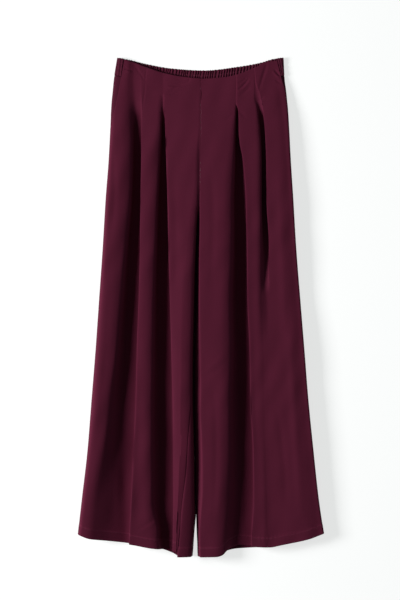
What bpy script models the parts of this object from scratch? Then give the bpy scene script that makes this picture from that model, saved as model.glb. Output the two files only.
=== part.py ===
"""Palazzo pants laid out flat on their back, modelled in Blender in metres, +Z up.

The waist points to +Y and the hems to -Y. The wearer's right leg is at -X. The cloth
rests on z = 0. Each leg is a tube of a front and a back panel. The back lies flat, and
the front stands over it in deep folds that open below four sewn pleats.

A section is the cut through one leg at one y, run clockwise: over the front from -X to
+X, and back along the floor. Tables give the places of its folds, one row a level.
"""

from collections import namedtuple

import bmesh
import bpy
import numpy as np

# ---- driving sizes, metres ----
CLOTH = 0.0014              # wall of one layer of cloth
SEAM = 0.0004               # gap between two pieces where a seam joins them
LAYER = 0.0012              # gap between two layers that lie on each other
CASING_SEAM = 0.0006        # the same below the casing, whose edge is finer than the back's
CROTCH_Y = 0.195            # where the legs part
BAND_HEIGHT = 0.036         # elastic casing, top edge to bottom edge
BAND_THICK = 0.0018         # casing with its elastic, between gathers
GATHER_HEIGHT = 0.0010      # how far a gather stands above that
GATHER_SHARE = 0.6          # share of that height which shows on the casing's outer face
GATHER_FADE = 0.008         # distance from a side over which the gathers begin
GATHERS = 72
BAND_TOP_LEVEL = 0.490      # level of the sections that shape the casing's top edge
BAND_LOW_LEVEL = 0.460      # and its lower edge
POCKET_TUCK = 0.005         # how far the facing runs on under the front's edge
POCKET_END = 0.022          # how far the facing runs on below the pocket's mouth
MID_HEIGHT = 0.40           # height of a round edge's widest point, of the whole edge
FLOOR_RADIUS = 0.008        # largest radius of a round edge where it meets the floor
EDGE_FULLNESS = 3.2         # power of a round edge's upper curve: 2 is an ellipse
BACK_CURL = 0.022           # how far from its inner edge a back panel lies flat
BACK_LIFT = 0.0025          # height of the back's centre seam at the crotch
LIFT_LENGTH = 0.050         # how far above the crotch it begins to rise
SEAM_SAG = 0.110            # how far above the crotch the front's curl at its seam has opened

# ---- a fold's form ----
DOME = 0.235                # drop of a panel's bend, as a share of its width
STEEP_LEAN = 0.0016         # how softly a fold's edge is rounded, where it is high
SHALLOW_LEAN = 0.0022       # the same at a sewn pleat, which is a low step
FULL_RISE = 0.012           # height from which an edge is high
EDGE_ROUND = 0.0040         # how far down from its edge a panel's fold begins to round

# ---- how finely the panels are cut into faces ----
LEVELS = 160                # sections worked out along a leg
LOW_LEVEL, HIGH_LEVEL = -0.500, 0.498
JUST_BELOW = 0.002          # an extra section this far below the crotch
DENSE = 48                  # points on each stretch of a section before it is thinned
TURN_WEIGHT = 0.006         # length that a turn of one radian counts for in thinning
WAVE_STEPS = 4              # faces along one gather
FACING_COLUMNS = 8
FACING_ROWS = 8
VALLEY_LOW = 6              # in a fold's cage, the point at its lowest place
VALLEY_TOP = 13             # and the point where the next panel is level
RIGHT_COLUMNS = (5, 9, 6, 8, 6, 5, 5)
LEFT_COLUMNS = (5, 8, 6, 8, 6, 5, 6)
BACK_COLUMNS = (6, 8, 5)

WINE = (0.075, 0.010, 0.024)
WINE_DARK = (0.050, 0.007, 0.017)

# ---- the outline at the sides: a row for each level ----
# rim: the widest point. crest: where the round edge begins. sink: how much lower than the
# outer panel it begins. wrap: where the front panel ends, 0 on the crest, 1 at the rim,
# 2 on the floor.
Side = namedtuple("Side", "y rim crest sink wrap")
RIGHT_SIDE = [
    Side(0.490, -0.1676, -0.1530, 0.0, 0.03),
    Side(0.455, -0.1740, -0.1570, 0.0, 0.10),
    Side(0.430, -0.1764, -0.1604, 0.0, 0.13),
    Side(0.410, -0.1784, -0.1634, 0.0, 0.20),
    Side(0.390, -0.1796, -0.1656, 0.0, 0.32),
    Side(0.372, -0.1804, -0.1674, 0.0, 0.50),
    Side(0.355, -0.1810, -0.1690, 0.0, 1.00),
    Side(0.325, -0.1824, -0.1710, 0.0, 1.28),
    Side(0.295, -0.1840, -0.1730, 0.0, 1.35),
    Side(0.215, -0.1900, -0.1790, 0.0, 1.35),
    Side(0.115, -0.1960, -0.1850, 0.0, 1.35),
    Side(0.015, -0.2030, -0.1910, 0.0, 1.35),
    Side(-0.085, -0.2100, -0.1980, 0.0, 1.35),
    Side(-0.185, -0.2180, -0.2060, 0.0, 1.35),
    Side(-0.285, -0.2260, -0.2150, 0.0, 1.35),
    Side(-0.385, -0.2376, -0.2270, 0.0, 1.35),
    Side(-0.500, -0.2504, -0.2390, 0.0, 1.35),
]
LEFT_SIDE = [
    Side(0.490, 0.1650, 0.1500, 0.0, 0.09),
    Side(0.455, 0.1672, 0.1530, 0.0008, 0.38),
    Side(0.430, 0.1704, 0.1574, 0.0016, 0.62),
    Side(0.410, 0.1724, 0.1608, 0.0024, 0.85),
    Side(0.390, 0.1740, 0.1640, 0.0030, 1.00),
    Side(0.355, 0.1760, 0.1672, 0.0040, 1.20),
    Side(0.295, 0.1790, 0.1706, 0.0048, 1.35),
    Side(0.215, 0.1840, 0.1760, 0.0054, 1.35),
    Side(0.115, 0.1900, 0.1820, 0.0060, 1.35),
    Side(0.015, 0.1980, 0.1896, 0.0066, 1.35),
    Side(-0.085, 0.2060, 0.1970, 0.0072, 1.35),
    Side(-0.185, 0.2140, 0.2050, 0.0078, 1.35),
    Side(-0.285, 0.2240, 0.2146, 0.0080, 1.35),
    Side(-0.385, 0.2350, 0.2254, 0.0084, 1.35),
    Side(-0.500, 0.2530, 0.2430, 0.0086, 1.35),
]

# ---- the middle: the centre seam, and below the crotch the legs' inner edges ----
# line: the seam, or the middle of the gap. part: half of the gap.
# mid: height of the front at the seam, then of the right leg's widest point at its inner edge.
# rise: how much higher the left leg's is.
# seam_right, seam_left: where each inseam runs, 0 on top, 1 at the rim, 2 on the floor.
# fall_right, fall_left: where each leg's inner panel begins to drop to the middle.
Middle = namedtuple("Middle", "y line part mid rise seam_right seam_left fall_right fall_left")
MIDDLE = [
    Middle(0.490, 0.0000, SEAM / 2, 0.0063, 0.0, 1.00, 1.00, -0.009, 0.008),
    Middle(0.455, 0.0000, SEAM / 2, 0.0076, 0.0, 1.00, 1.00, -0.009, 0.008),
    Middle(0.420, 0.0000, SEAM / 2, 0.0108, 0.0, 1.00, 1.00, -0.009, 0.008),
    Middle(0.390, -0.0002, SEAM / 2, 0.0153, 0.0, 1.00, 1.00, -0.010, 0.009),
    Middle(0.355, -0.0006, SEAM / 2, 0.0200, 0.0, 1.00, 1.00, -0.011, 0.0100),
    Middle(0.315, -0.0012, SEAM / 2, 0.0225, 0.0, 1.00, 1.00, -0.012, 0.0080),
    Middle(0.275, -0.0016, SEAM / 2, 0.0180, 0.0, 1.00, 1.00, -0.014, 0.0072),
    Middle(0.235, -0.0020, SEAM / 2, 0.0110, 0.0, 1.00, 1.00, -0.017, 0.0066),
    Middle(CROTCH_Y, -0.0026, SEAM / 2, 0.0062, 0.0, 1.00, 1.00, -0.020, 0.0068),
    Middle(0.180, -0.0030, 0.0009, 0.0062, 0.0010, 1.00, 1.05, -0.021, 0.0068),
    Middle(0.115, -0.0046, 0.0012, 0.0062, 0.0080, 0.98, 1.30, -0.028, 0.0030),
    Middle(0.035, -0.0052, 0.0012, 0.0062, 0.0100, 0.94, 1.40, -0.034, 0.0023),
    Middle(-0.085, -0.0060, 0.0012, 0.0062, 0.0100, 0.72, 1.45, -0.038, 0.0015),
    Middle(-0.185, -0.0060, 0.0012, 0.0062, 0.0100, 0.55, 1.45, -0.040, 0.0015),
    Middle(-0.285, -0.0040, 0.0012, 0.0062, 0.0100, 0.31, 1.45, -0.042, 0.0035),
    Middle(-0.385, -0.0040, 0.0012, 0.0062, 0.0090, 0.16, 1.45, -0.041, 0.0036),
    Middle(-0.425, -0.0050, 0.0014, 0.0064, 0.0080, 0.12, 1.45, -0.041, 0.0033),
    Middle(-0.500, -0.0103, 0.0076, 0.0070, 0.0070, 0.04, 1.45, -0.042, 0.0090),
]

# ---- heights of the panels between the folds, above the floor: a row for each level ----
Panels = namedtuple("Panels", "y outer middle inner")
RIGHT_PANELS = [
    Panels(0.490, 0.0088, 0.0070, 0.0066),
    Panels(0.466, 0.0108, 0.0084, 0.0073),
    Panels(0.454, 0.0120, 0.0094, 0.0080),
    Panels(0.441, 0.0134, 0.0102, 0.0089),
    Panels(0.428, 0.0150, 0.0112, 0.0103),
    Panels(0.414, 0.0168, 0.0128, 0.0122),
    Panels(0.398, 0.0188, 0.0150, 0.0145),
    Panels(0.382, 0.0206, 0.0172, 0.0170),
    Panels(0.354, 0.0228, 0.0208, 0.0210),
    Panels(0.294, 0.0268, 0.0265, 0.0272),
    Panels(0.214, 0.0300, 0.0290, 0.0312),
    Panels(0.114, 0.0318, 0.0300, 0.0330),
    Panels(-0.286, 0.0318, 0.0300, 0.0336),
    Panels(-0.386, 0.0306, 0.0280, 0.0330),
    Panels(-0.500, 0.0280, 0.0250, 0.0300),
]
LEFT_PANELS = [
    Panels(0.490, 0.0085, 0.0070, 0.0066),
    Panels(0.466, 0.0101, 0.0080, 0.0073),
    Panels(0.454, 0.0112, 0.0089, 0.0080),
    Panels(0.441, 0.0122, 0.0100, 0.0089),
    Panels(0.428, 0.0132, 0.0112, 0.0103),
    Panels(0.414, 0.0143, 0.0128, 0.0122),
    Panels(0.398, 0.0158, 0.0148, 0.0145),
    Panels(0.382, 0.0174, 0.0168, 0.0170),
    Panels(0.354, 0.0198, 0.0202, 0.0210),
    Panels(0.294, 0.0228, 0.0252, 0.0272),
    Panels(0.214, 0.0246, 0.0278, 0.0312),
    Panels(0.114, 0.0256, 0.0286, 0.0330),
    Panels(-0.086, 0.0266, 0.0284, 0.0334),
    Panels(-0.286, 0.0268, 0.0282, 0.0334),
    Panels(-0.386, 0.0260, 0.0275, 0.0326),
    Panels(-0.500, 0.0240, 0.0258, 0.0300),
]

# ---- the folds: from -X to +X a panel drops to a valley, which the next panel's edge closes ----
# fall: where the panel begins to bend down. brink: where it turns steep. foot: where the
# steep part ends. edge: the next panel's edge. low: the valley's height, or CLOSED where the
# pleat is sewn shut. ramp: share of the rise to the edge that is a slope across the valley.
# crown: how much higher the next panel is than its edge.
CLOSED = 0.040
Fold = namedtuple("Fold", "y fall brink foot edge low ramp crown")
RIGHT_OUTER = [
    Fold(0.490, -0.1480, -0.1400, -0.1370, -0.1330, 0.0074, 0.50, 0.0003),
    Fold(0.466, -0.1480, -0.1410, -0.1372, -0.1310, 0.0076, 0.60, 0.0003),
    Fold(0.454, -0.1535, -0.1430, -0.1376, -0.1270, 0.0076, 0.80, 0.0003),
    Fold(0.441, -0.1555, -0.1430, -0.1380, -0.1230, 0.0076, 0.90, 0.0003),
    Fold(0.428, -0.1575, -0.1420, -0.1364, -0.1190, 0.0076, 0.92, 0.0003),
    Fold(0.414, -0.1595, -0.1410, -0.1350, -0.1180, 0.0074, 0.92, 0.0003),
    Fold(0.398, -0.1610, -0.1400, -0.1330, -0.1180, 0.0068, 0.70, 0.0003),
    Fold(0.382, -0.1620, -0.1390, -0.1320, -0.1180, 0.0060, 0.40, 0.0003),
    Fold(0.354, -0.1640, -0.1380, -0.1320, -0.1188, 0.0050, 0.04, 0.0003),
    Fold(0.294, -0.1690, -0.1366, -0.1310, -0.1186, 0.0048, 0.00, 0.0003),
    Fold(0.214, -0.1750, -0.1394, -0.1340, -0.1206, 0.0048, 0.00, 0.0003),
    Fold(0.114, -0.1810, -0.1490, -0.1430, -0.1222, 0.0048, 0.00, 0.0003),
    Fold(0.014, -0.1860, -0.1574, -0.1500, -0.1240, 0.0048, 0.00, 0.0003),
    Fold(-0.086, -0.1920, -0.1660, -0.1570, -0.1276, 0.0048, 0.00, 0.0004),
    Fold(-0.186, -0.2050, -0.1780, -0.1640, -0.1320, 0.0048, 0.00, 0.0006),
    Fold(-0.286, -0.2120, -0.1900, -0.1640, -0.1380, 0.0048, 0.00, 0.0008),
    Fold(-0.386, -0.2260, -0.2060, -0.1560, -0.1420, 0.0048, 0.00, 0.0008),
    Fold(-0.446, -0.2310, -0.2110, -0.1570, -0.1450, 0.0048, 0.00, 0.0008),
    Fold(-0.500, -0.2340, -0.2140, -0.1580, -0.1470, 0.0048, 0.00, 0.0008),
]
RIGHT_INNER = [
    Fold(0.490, -0.0792, -0.0778, -0.0766, -0.0746, CLOSED, 1.00, 0.0002),
    Fold(0.430, -0.0792, -0.0778, -0.0766, -0.0746, CLOSED, 1.00, 0.0002),
    Fold(0.424, -0.0860, -0.0790, -0.0772, -0.0744, 0.0094, 0.20, 0.0002),
    Fold(0.414, -0.0890, -0.0786, -0.0766, -0.0736, 0.0092, 0.00, 0.0002),
    Fold(0.398, -0.0900, -0.0792, -0.0768, -0.0736, 0.0084, 0.00, 0.0002),
    Fold(0.382, -0.0920, -0.0790, -0.0764, -0.0732, 0.0066, 0.00, 0.0002),
    Fold(0.354, -0.0960, -0.0790, -0.0762, -0.0722, 0.0050, 0.00, 0.0002),
    Fold(0.294, -0.1060, -0.0816, -0.0780, -0.0694, 0.0048, 0.00, 0.0002),
    Fold(0.214, -0.1090, -0.0854, -0.0810, -0.0668, 0.0048, 0.00, 0.0003),
    Fold(0.114, -0.1120, -0.0894, -0.0840, -0.0648, 0.0048, 0.00, 0.0008),
    Fold(0.014, -0.1140, -0.0932, -0.0870, -0.0620, 0.0048, 0.00, 0.0018),
    Fold(-0.086, -0.1150, -0.0946, -0.0880, -0.0592, 0.0048, 0.00, 0.0026),
    Fold(-0.186, -0.1160, -0.0960, -0.0890, -0.0568, 0.0048, 0.00, 0.0030),
    Fold(-0.286, -0.1160, -0.0960, -0.0880, -0.0556, 0.0048, 0.00, 0.0030),
    Fold(-0.386, -0.1160, -0.0960, -0.0860, -0.0548, 0.0048, 0.00, 0.0028),
    Fold(-0.446, -0.1040, -0.0850, -0.0780, -0.0546, 0.0050, 0.00, 0.0020),
    Fold(-0.500, -0.1020, -0.0840, -0.0770, -0.0546, 0.0050, 0.00, 0.0020),
]
LEFT_INNER = [
    Fold(0.490, 0.0682, 0.0692, 0.0702, 0.0722, CLOSED, 1.00, 0.0002),
    Fold(0.402, 0.0672, 0.0682, 0.0692, 0.0712, CLOSED, 1.00, 0.0002),
    Fold(0.398, 0.0672, 0.0700, 0.0714, 0.0734, 0.0128, 0.20, 0.0002),
    Fold(0.390, 0.0650, 0.0694, 0.0712, 0.0754, 0.0098, 0.00, 0.0002),
    Fold(0.382, 0.0640, 0.0692, 0.0712, 0.0762, 0.0072, 0.00, 0.0002),
    Fold(0.368, 0.0610, 0.0688, 0.0710, 0.0766, 0.0054, 0.00, 0.0002),
    Fold(0.354, 0.0580, 0.0686, 0.0712, 0.0766, 0.0048, 0.04, 0.0003),
    Fold(0.324, 0.0530, 0.0676, 0.0706, 0.0790, 0.0048, 0.10, 0.0005),
    Fold(0.294, 0.0480, 0.0668, 0.0706, 0.0836, 0.0048, 0.16, 0.0010),
    Fold(0.214, 0.0420, 0.0636, 0.0684, 0.0890, 0.0048, 0.08, 0.0008),
    Fold(0.114, 0.0380, 0.0628, 0.0690, 0.0912, 0.0048, 0.00, 0.0005),
    Fold(0.014, 0.0350, 0.0600, 0.0660, 0.0920, 0.0048, 0.00, 0.0005),
    Fold(-0.086, 0.0350, 0.0616, 0.0680, 0.0964, 0.0048, 0.00, 0.0005),
    Fold(-0.186, 0.0340, 0.0592, 0.0660, 0.0980, 0.0048, 0.00, 0.0005),
    Fold(-0.286, 0.0310, 0.0596, 0.0680, 0.1030, 0.0048, 0.00, 0.0006),
    Fold(-0.386, 0.0250, 0.0556, 0.0700, 0.1040, 0.0048, 0.00, 0.0006),
    Fold(-0.446, 0.0230, 0.0500, 0.0660, 0.1010, 0.0050, 0.00, 0.0006),
    Fold(-0.500, 0.0230, 0.0480, 0.0640, 0.1000, 0.0052, 0.00, 0.0006),
]
LEFT_OUTER = [
    Fold(0.490, 0.1040, 0.1050, 0.1060, 0.1084, CLOSED, 1.00, 0.0002),
    Fold(0.420, 0.1058, 0.1068, 0.1078, 0.1100, CLOSED, 1.00, 0.0002),
    Fold(0.414, 0.1066, 0.1110, 0.1140, 0.1230, 0.0112, 0.30, 0.0002),
    Fold(0.398, 0.1080, 0.1126, 0.1156, 0.1246, 0.0096, 0.10, 0.0002),
    Fold(0.382, 0.1080, 0.1134, 0.1160, 0.1250, 0.0084, 0.04, 0.0002),
    Fold(0.354, 0.1080, 0.1168, 0.1196, 0.1284, 0.0066, 0.00, 0.0002),
    Fold(0.294, 0.1090, 0.1196, 0.1226, 0.1306, 0.0056, 0.00, 0.0002),
    Fold(0.214, 0.1090, 0.1196, 0.1228, 0.1308, 0.0064, 0.00, 0.0002),
    Fold(0.114, 0.1096, 0.1200, 0.1238, 0.1350, 0.0136, 0.04, 0.0003),
    Fold(0.014, 0.1100, 0.1190, 0.1240, 0.1310, 0.0226, 0.15, 0.0003),
    Fold(-0.086, 0.1100, 0.1196, 0.1240, 0.1330, 0.0256, 0.40, 0.0003),
    Fold(-0.186, 0.1100, 0.1220, 0.1270, 0.1380, 0.0262, 0.60, 0.0003),
    Fold(-0.286, 0.1180, 0.1280, 0.1330, 0.1450, 0.0266, 0.70, 0.0003),
    Fold(-0.386, 0.1220, 0.1310, 0.1370, 0.1500, 0.0262, 0.80, 0.0003),
    Fold(-0.500, 0.1240, 0.1330, 0.1390, 0.1530, 0.0244, 0.80, 0.0003),
]

# ---- top and bottom edges, from -X to +X: a row for each point ----
Point = namedtuple("Point", "x y")
FRONT_WAIST = [
    Point(-0.1540, 0.4939), Point(-0.1360, 0.4885), Point(-0.1146, 0.4803),
    Point(-0.0746, 0.4671), Point(-0.0374, 0.4595), Point(0.0054, 0.4557),
    Point(0.0472, 0.4585), Point(0.0714, 0.4635), Point(0.1114, 0.4793),
    Point(0.1272, 0.4877), Point(0.1520, 0.4915),
]
BACK_WAIST = [
    Point(-0.1680, 0.4975), Point(-0.1432, 0.4935), Point(-0.1146, 0.4863),
    Point(-0.0574, 0.4761), Point(0.0054, 0.4723), Point(0.0758, 0.4799),
    Point(0.1186, 0.4877), Point(0.1472, 0.4957), Point(0.1640, 0.4975),
]
FRONT_HEM_RIGHT = [
    Point(-0.2450, -0.4523), Point(-0.2220, -0.4611), Point(-0.1900, -0.4657),
    Point(-0.1360, -0.4735), Point(-0.1000, -0.4805), Point(-0.0560, -0.4860),
]
BACK_HEM_RIGHT = [
    Point(-0.2450, -0.4500), Point(-0.1900, -0.4630), Point(-0.1000, -0.4775),
    Point(-0.0560, -0.4920), Point(-0.0456, -0.4975), Point(-0.0174, -0.4975),
]
FRONT_HEM_LEFT = [
    Point(-0.0030, -0.4975), Point(0.0308, -0.4970), Point(0.0434, -0.4935),
    Point(0.0516, -0.4855), Point(0.0616, -0.4795), Point(0.0780, -0.4751),
    Point(0.1052, -0.4775), Point(0.1360, -0.4785), Point(0.1600, -0.4741),
    Point(0.2140, -0.4625), Point(0.2448, -0.4515),
]
BACK_HEM_LEFT = [
    Point(-0.0030, -0.4945), Point(0.0308, -0.4925), Point(0.0690, -0.4835),
    Point(0.1360, -0.4789), Point(0.1870, -0.4665), Point(0.2448, -0.4490),
]

# ---- rows of faces down a panel: heights above which the waist or hem shapes them ----
ROWS_Y = (
    0.480, 0.466, 0.450, 0.434, 0.418, 0.403, 0.388, 0.372, 0.361, 0.350, 0.322, 0.290, 0.250, 0.215,
    CROTCH_Y, 0.183, 0.160, 0.115, 0.055, -0.025, -0.105, -0.185, -0.265, -0.340, -0.405,
    -0.475,
)
BACK_ROWS_Y = (0.450, 0.434, 0.411, *ROWS_Y[6:])
WAIST_REACH = 0.36          # rows above this follow the waist
HEM_REACH = -0.41           # rows below this follow the hem


def smooth_curve(at, value, where):
    """A monotone cubic through the points (at, value), level beyond its ends."""
    step = np.diff(at)
    slope = np.diff(value) / step
    tangent = np.zeros(len(at))
    same_way = slope[1:] * slope[:-1] > 0
    weight_a = 2 * step[1:] + step[:-1]
    weight_b = step[1:] + 2 * step[:-1]
    with np.errstate(divide="ignore", invalid="ignore"):
        mean = (weight_a + weight_b) / (weight_a / slope[:-1] + weight_b / slope[1:])
    tangent[1:-1] = np.where(same_way, mean, 0.0)
    tangent[0], tangent[-1] = slope[0], slope[-1]
    where = np.clip(where, at[0], at[-1])
    k = np.clip(np.searchsorted(at, where) - 1, 0, len(step) - 1)
    s = (where - at[k]) / step[k]
    rise = value[k] * (1 + 2 * s) * (1 - s) ** 2 + value[k + 1] * s ** 2 * (3 - 2 * s)
    turn = tangent[k] * s * (1 - s) ** 2 - tangent[k + 1] * s ** 2 * (1 - s)
    return rise + turn * step[k]


def rows_at(rows, levels):
    """A table's rows at any levels, on smooth curves that never overshoot."""
    table = sorted(rows, key=lambda row: row.y)
    at = np.array([row.y for row in table])
    kind = type(table[0])
    columns = [smooth_curve(at, np.array([getattr(row, name) for row in table]), levels)
               for name in kind._fields]
    return [kind(*values) for values in zip(*columns)]


def edge_curve(points, x):
    """The y of an edge at the places x."""
    return smooth_curve(np.array([p.x for p in points]), np.array([p.y for p in points]), x)


def round_edge(crest, top, rim, mid, wrap):
    """Points of a round edge: wrap 0 on the crest, 1 at the rim, 2 on the floor."""
    out = np.sign(rim - crest)
    radius = min(FLOOR_RADIUS, 1.2 * mid)
    upper = np.clip(wrap, 0, 1) * np.pi / 2
    lower = np.clip(wrap - 1, 0, 1) * np.pi / 2
    x = crest + (rim - crest) * np.sin(upper) - out * radius * (1 - np.cos(lower))
    full = (1 - np.sin(upper) ** EDGE_FULLNESS) ** (1 / EDGE_FULLNESS)
    z = np.where(wrap < 1, mid + (top - mid) * full, mid * (1 - np.sin(lower)))
    return np.column_stack([x, z])


def seam_wrap(crest, top, rim, mid, wrap):
    """A seam's gap as a step of wrap, at one place on a round edge."""
    small = 0.01
    near = round_edge(crest, top, rim, mid, np.array([wrap, wrap + small]))
    return SEAM * small / np.linalg.norm(near[1] - near[0])


def fold_spline(cage, count):
    """A uniform cubic B-spline through the first and last points of a cage.

    Also gives the parameter of each curve point, on which cage point i stands at i + 1.
    """
    cage = np.vstack([cage[:1], cage[:1], cage, cage[-1:], cage[-1:]])
    u = np.linspace(0, len(cage) - 3, count)
    k = np.minimum(u.astype(int), len(cage) - 4)
    s = (u - k)[:, None]
    a, b, c, d = cage[k], cage[k + 1], cage[k + 2], cage[k + 3]
    first = (1 - s) ** 3 * a + (3 * s ** 3 - 6 * s ** 2 + 4) * b
    second = (3 * s ** 2 + 3 * s + 1 - 3 * s ** 3) * c + s ** 3 * d
    return (first + second) / 6, u


def fold_cage(fold, high, next_high, next_fall):
    """Cage points of one fold: the bend, the drop, the valley, the edge, the next panel."""
    low = min(fold.low, high, next_high)
    top = next_high - fold.crown * min(1.0, (next_high - low) / 0.004)
    rise = top - low
    slope_top = low + fold.ramp * rise
    steep = top - slope_top
    lean = STEEP_LEAN + (SHALLOW_LEAN - STEEP_LEAN) * max(0.0, 1 - rise / FULL_RISE)
    edge = fold.edge
    foot = min(fold.foot, edge - 2.0 * lean)
    brink = min(fold.brink, foot - 0.0016)
    fall = min(fold.fall, brink - 0.0030)
    bend, down = brink - fall, foot - brink
    dome = min(DOME * bend, 0.42 * (high - low))
    drop = high - dome - low
    plateau = edge + 0.45 * (next_fall - edge)
    return [
        (fall, high),
        (fall + 0.38 * bend, high - 0.12 * dome),
        (fall + 0.74 * bend, high - 0.52 * dome),
        (brink, high - dome),
        (brink + 0.55 * down, low + 0.45 * drop),
        (foot, low + 0.08 * drop),
        (foot + 0.50 * (edge - foot) - 0.4 * lean, low + 0.30 * fold.ramp * rise),
        (edge - 1.2 * lean, low + 0.85 * fold.ramp * rise),
        (edge - 0.3 * lean, slope_top + 0.06 * steep),
        (edge - 0.1 * lean, slope_top + 0.50 * steep),
        (edge, top - min(EDGE_ROUND, 0.30 * steep)),
        (edge + 0.25 * lean, top - min(0.0006, 0.06 * steep)),
        (edge + 1.6 * lean, top),
        (plateau + lean, next_high),
    ]


def fold_stretches(start, end, folds, heights, sinks):
    """The top of a leg's front at one level, cut at its valleys and panels."""
    low_panel, middle_panel, high_panel = heights
    first, second = folds
    start_sink, end_sink = sinks
    cage = [(start, low_panel - start_sink)]
    cage += fold_cage(first, low_panel, middle_panel, second.fall)
    cage += fold_cage(second, middle_panel, high_panel, end)
    last = cage[-1][0]
    cage += [(last + share * (end - last), high_panel - sunk * end_sink)
             for share, sunk in ((0.40, 0.04), (0.68, 0.50), (0.88, 0.92), (1.0, 1.0))]
    size = VALLEY_TOP + 1
    marks = [0.0, VALLEY_LOW + 2.0, VALLEY_TOP + 2.0, size + VALLEY_LOW + 2.0,
             size + VALLEY_TOP + 2.0, len(cage) + 1.0]
    curve, u = fold_spline(np.array(cage), DENSE * 8)
    cut = []
    for mark, next_mark in zip(marks, marks[1:]):
        at = np.linspace(mark, next_mark, DENSE)
        cut.append(np.column_stack([np.interp(at, u, curve[:, 0]), np.interp(at, u, curve[:, 1])]))
    return cut


def inner_round(middle, hand, top):
    """Crest, top, rim and middle height of a leg's round inner edge, and its seam's wrap."""
    rim = middle.line + hand * middle.part
    if hand < 0:
        return (middle.fall_right, top, rim, middle.mid), middle.seam_right
    return (middle.fall_left, top, rim, middle.mid + middle.rise), middle.seam_left


def middle_end(y, middle, hand, top):
    """The front's inner end: down to the centre seam, or below the crotch round the leg."""
    edge, seam = inner_round(middle, hand, top)
    if y < CROTCH_Y:
        return round_edge(*edge, np.linspace(0, seam, DENSE))
    crest, _, rim, mid = edge
    wrap = np.linspace(0, 1, DENSE)
    curled = round_edge(*edge, wrap)
    sagging = top - (top - mid) * np.sin(wrap * np.pi / 2) ** 2
    share = min(1.0, (y - CROTCH_Y) / SEAM_SAG)
    curled[:, 1] += share * (sagging - curled[:, 1])
    return curled


def side_round(side, panels):
    """Crest, top, rim and middle height of a leg's round side at one level."""
    top = panels.outer - side.sink
    return side.crest, top, side.rim, MID_HEIGHT * top


def side_edge(side, panels, wraps):
    """Points of a leg's round side at one level."""
    return round_edge(*side_round(side, panels), wraps)


def right_front(y, side, middle, panels, outer, inner):
    """The front of the right leg at one level, as stretches from the side inwards."""
    round_side = side_edge(side, panels, np.linspace(side.wrap, 0, DENSE))
    heights = (panels.outer, panels.middle, panels.inner)
    top = fold_stretches(side.crest, middle.fall_right, (outer, inner), heights, (side.sink, 0.0))
    return [round_side] + top + [middle_end(y, middle, -1, panels.inner)]


def left_front(y, side, middle, panels, outer, inner):
    """The front of the left leg at one level, as stretches from the middle outwards."""
    round_side = side_edge(side, panels, np.linspace(0, side.wrap, DENSE))
    heights = (panels.inner, panels.middle, panels.outer)
    top = fold_stretches(middle.fall_left, side.crest, (inner, outer), heights, (0.0, side.sink))
    return [middle_end(y, middle, 1, panels.inner)[::-1]] + top + [round_side]


def back_section(hand, y, side, middle, panels):
    """The back of a leg at one level, as stretches from its inner edge to its side."""
    rim = middle.line + hand * middle.part
    start = rim + hand * BACK_CURL
    if y >= CROTCH_Y:
        lift = BACK_LIFT * max(0.0, 1 - (y - CROTCH_Y) / LIFT_LENGTH)
        s = np.linspace(1, 0, DENSE)
        inner = np.column_stack([start + (rim - start) * s, lift * s ** 2])
    else:
        edge, seam = inner_round(middle, hand, panels.inner)
        seam += seam_wrap(*edge, seam)
        curl = round_edge(*edge, np.linspace(seam, 2, DENSE))
        inner = np.vstack([curl, [(start, 0.0)]])
    end = max(1.0, side.wrap)
    end += seam_wrap(*side_round(side, panels), end)
    outer = side_edge(side, panels, np.linspace(2, end, DENSE))
    return [inner, np.linspace(inner[-1], outer[0], DENSE), outer]


def thin(parts, columns):
    """A section's stretches thinned to their columns: points and outward normals."""
    path = np.vstack([part if i == 0 else part[1:] for i, part in enumerate(parts)])
    ahead = np.gradient(path, axis=0)
    ahead /= np.linalg.norm(ahead, axis=1)[:, None]
    heading = np.unwrap(np.arctan2(ahead[:, 1], ahead[:, 0]))
    step = np.linalg.norm(np.diff(path, axis=0), axis=1)
    weight = step + TURN_WEIGHT * np.abs(np.diff(heading))
    along = np.concatenate([[0.0], np.cumsum(weight)])
    at = [0.0]
    end = 0
    for part, count in zip(parts, columns):
        start, end = end, end + len(part) - 1
        at += list(np.linspace(along[start], along[end], count + 1)[1:])
    x, z, angle = (np.interp(at, along, v) for v in (path[:, 0], path[:, 1], heading))
    return np.column_stack([x, z, -np.sin(angle), np.cos(angle)])


def panel_grid(leg, part, columns, rows_y, top_edge, hem_edge):
    """Outer points and outward normals of a panel, rows by columns."""
    levels = np.linspace(LOW_LEVEL, HIGH_LEVEL, LEVELS)
    levels = np.sort(np.append(levels, (CROTCH_Y, CROTCH_Y - JUST_BELOW)))
    tables = [rows_at(rows, levels) for rows in (leg.side, MIDDLE, leg.panels, leg.outer, leg.inner)]
    cuts = np.array([thin(part(y, leg, *rows), columns) for y, *rows in zip(levels, *tables)])
    count = cuts.shape[1]

    def at(col, y):
        return np.array([np.interp(y, levels, cuts[:, col, k]) for k in range(4)])

    points = np.zeros((len(rows_y), count, 3))
    normals = np.zeros_like(points)
    for col in range(count):
        top, hem = rows_y[0], rows_y[-1]
        for _ in range(4):
            top = float(top_edge(at(col, top)[0]))
            hem = float(hem_edge(at(col, hem)[0]))
        for row, level in enumerate(rows_y):
            near_top = max(0.0, (level - WAIST_REACH) / (rows_y[0] - WAIST_REACH))
            near_hem = max(0.0, (level - HEM_REACH) / (rows_y[-1] - HEM_REACH))
            y = level + near_top * (top - rows_y[0]) + near_hem * (hem - rows_y[-1])
            x, z, normal_x, normal_z = at(col, y)
            size = np.hypot(normal_x, normal_z)
            points[row, col] = x, y, z
            normals[row, col] = normal_x / size, 0.0, normal_z / size
    return points, normals


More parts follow.
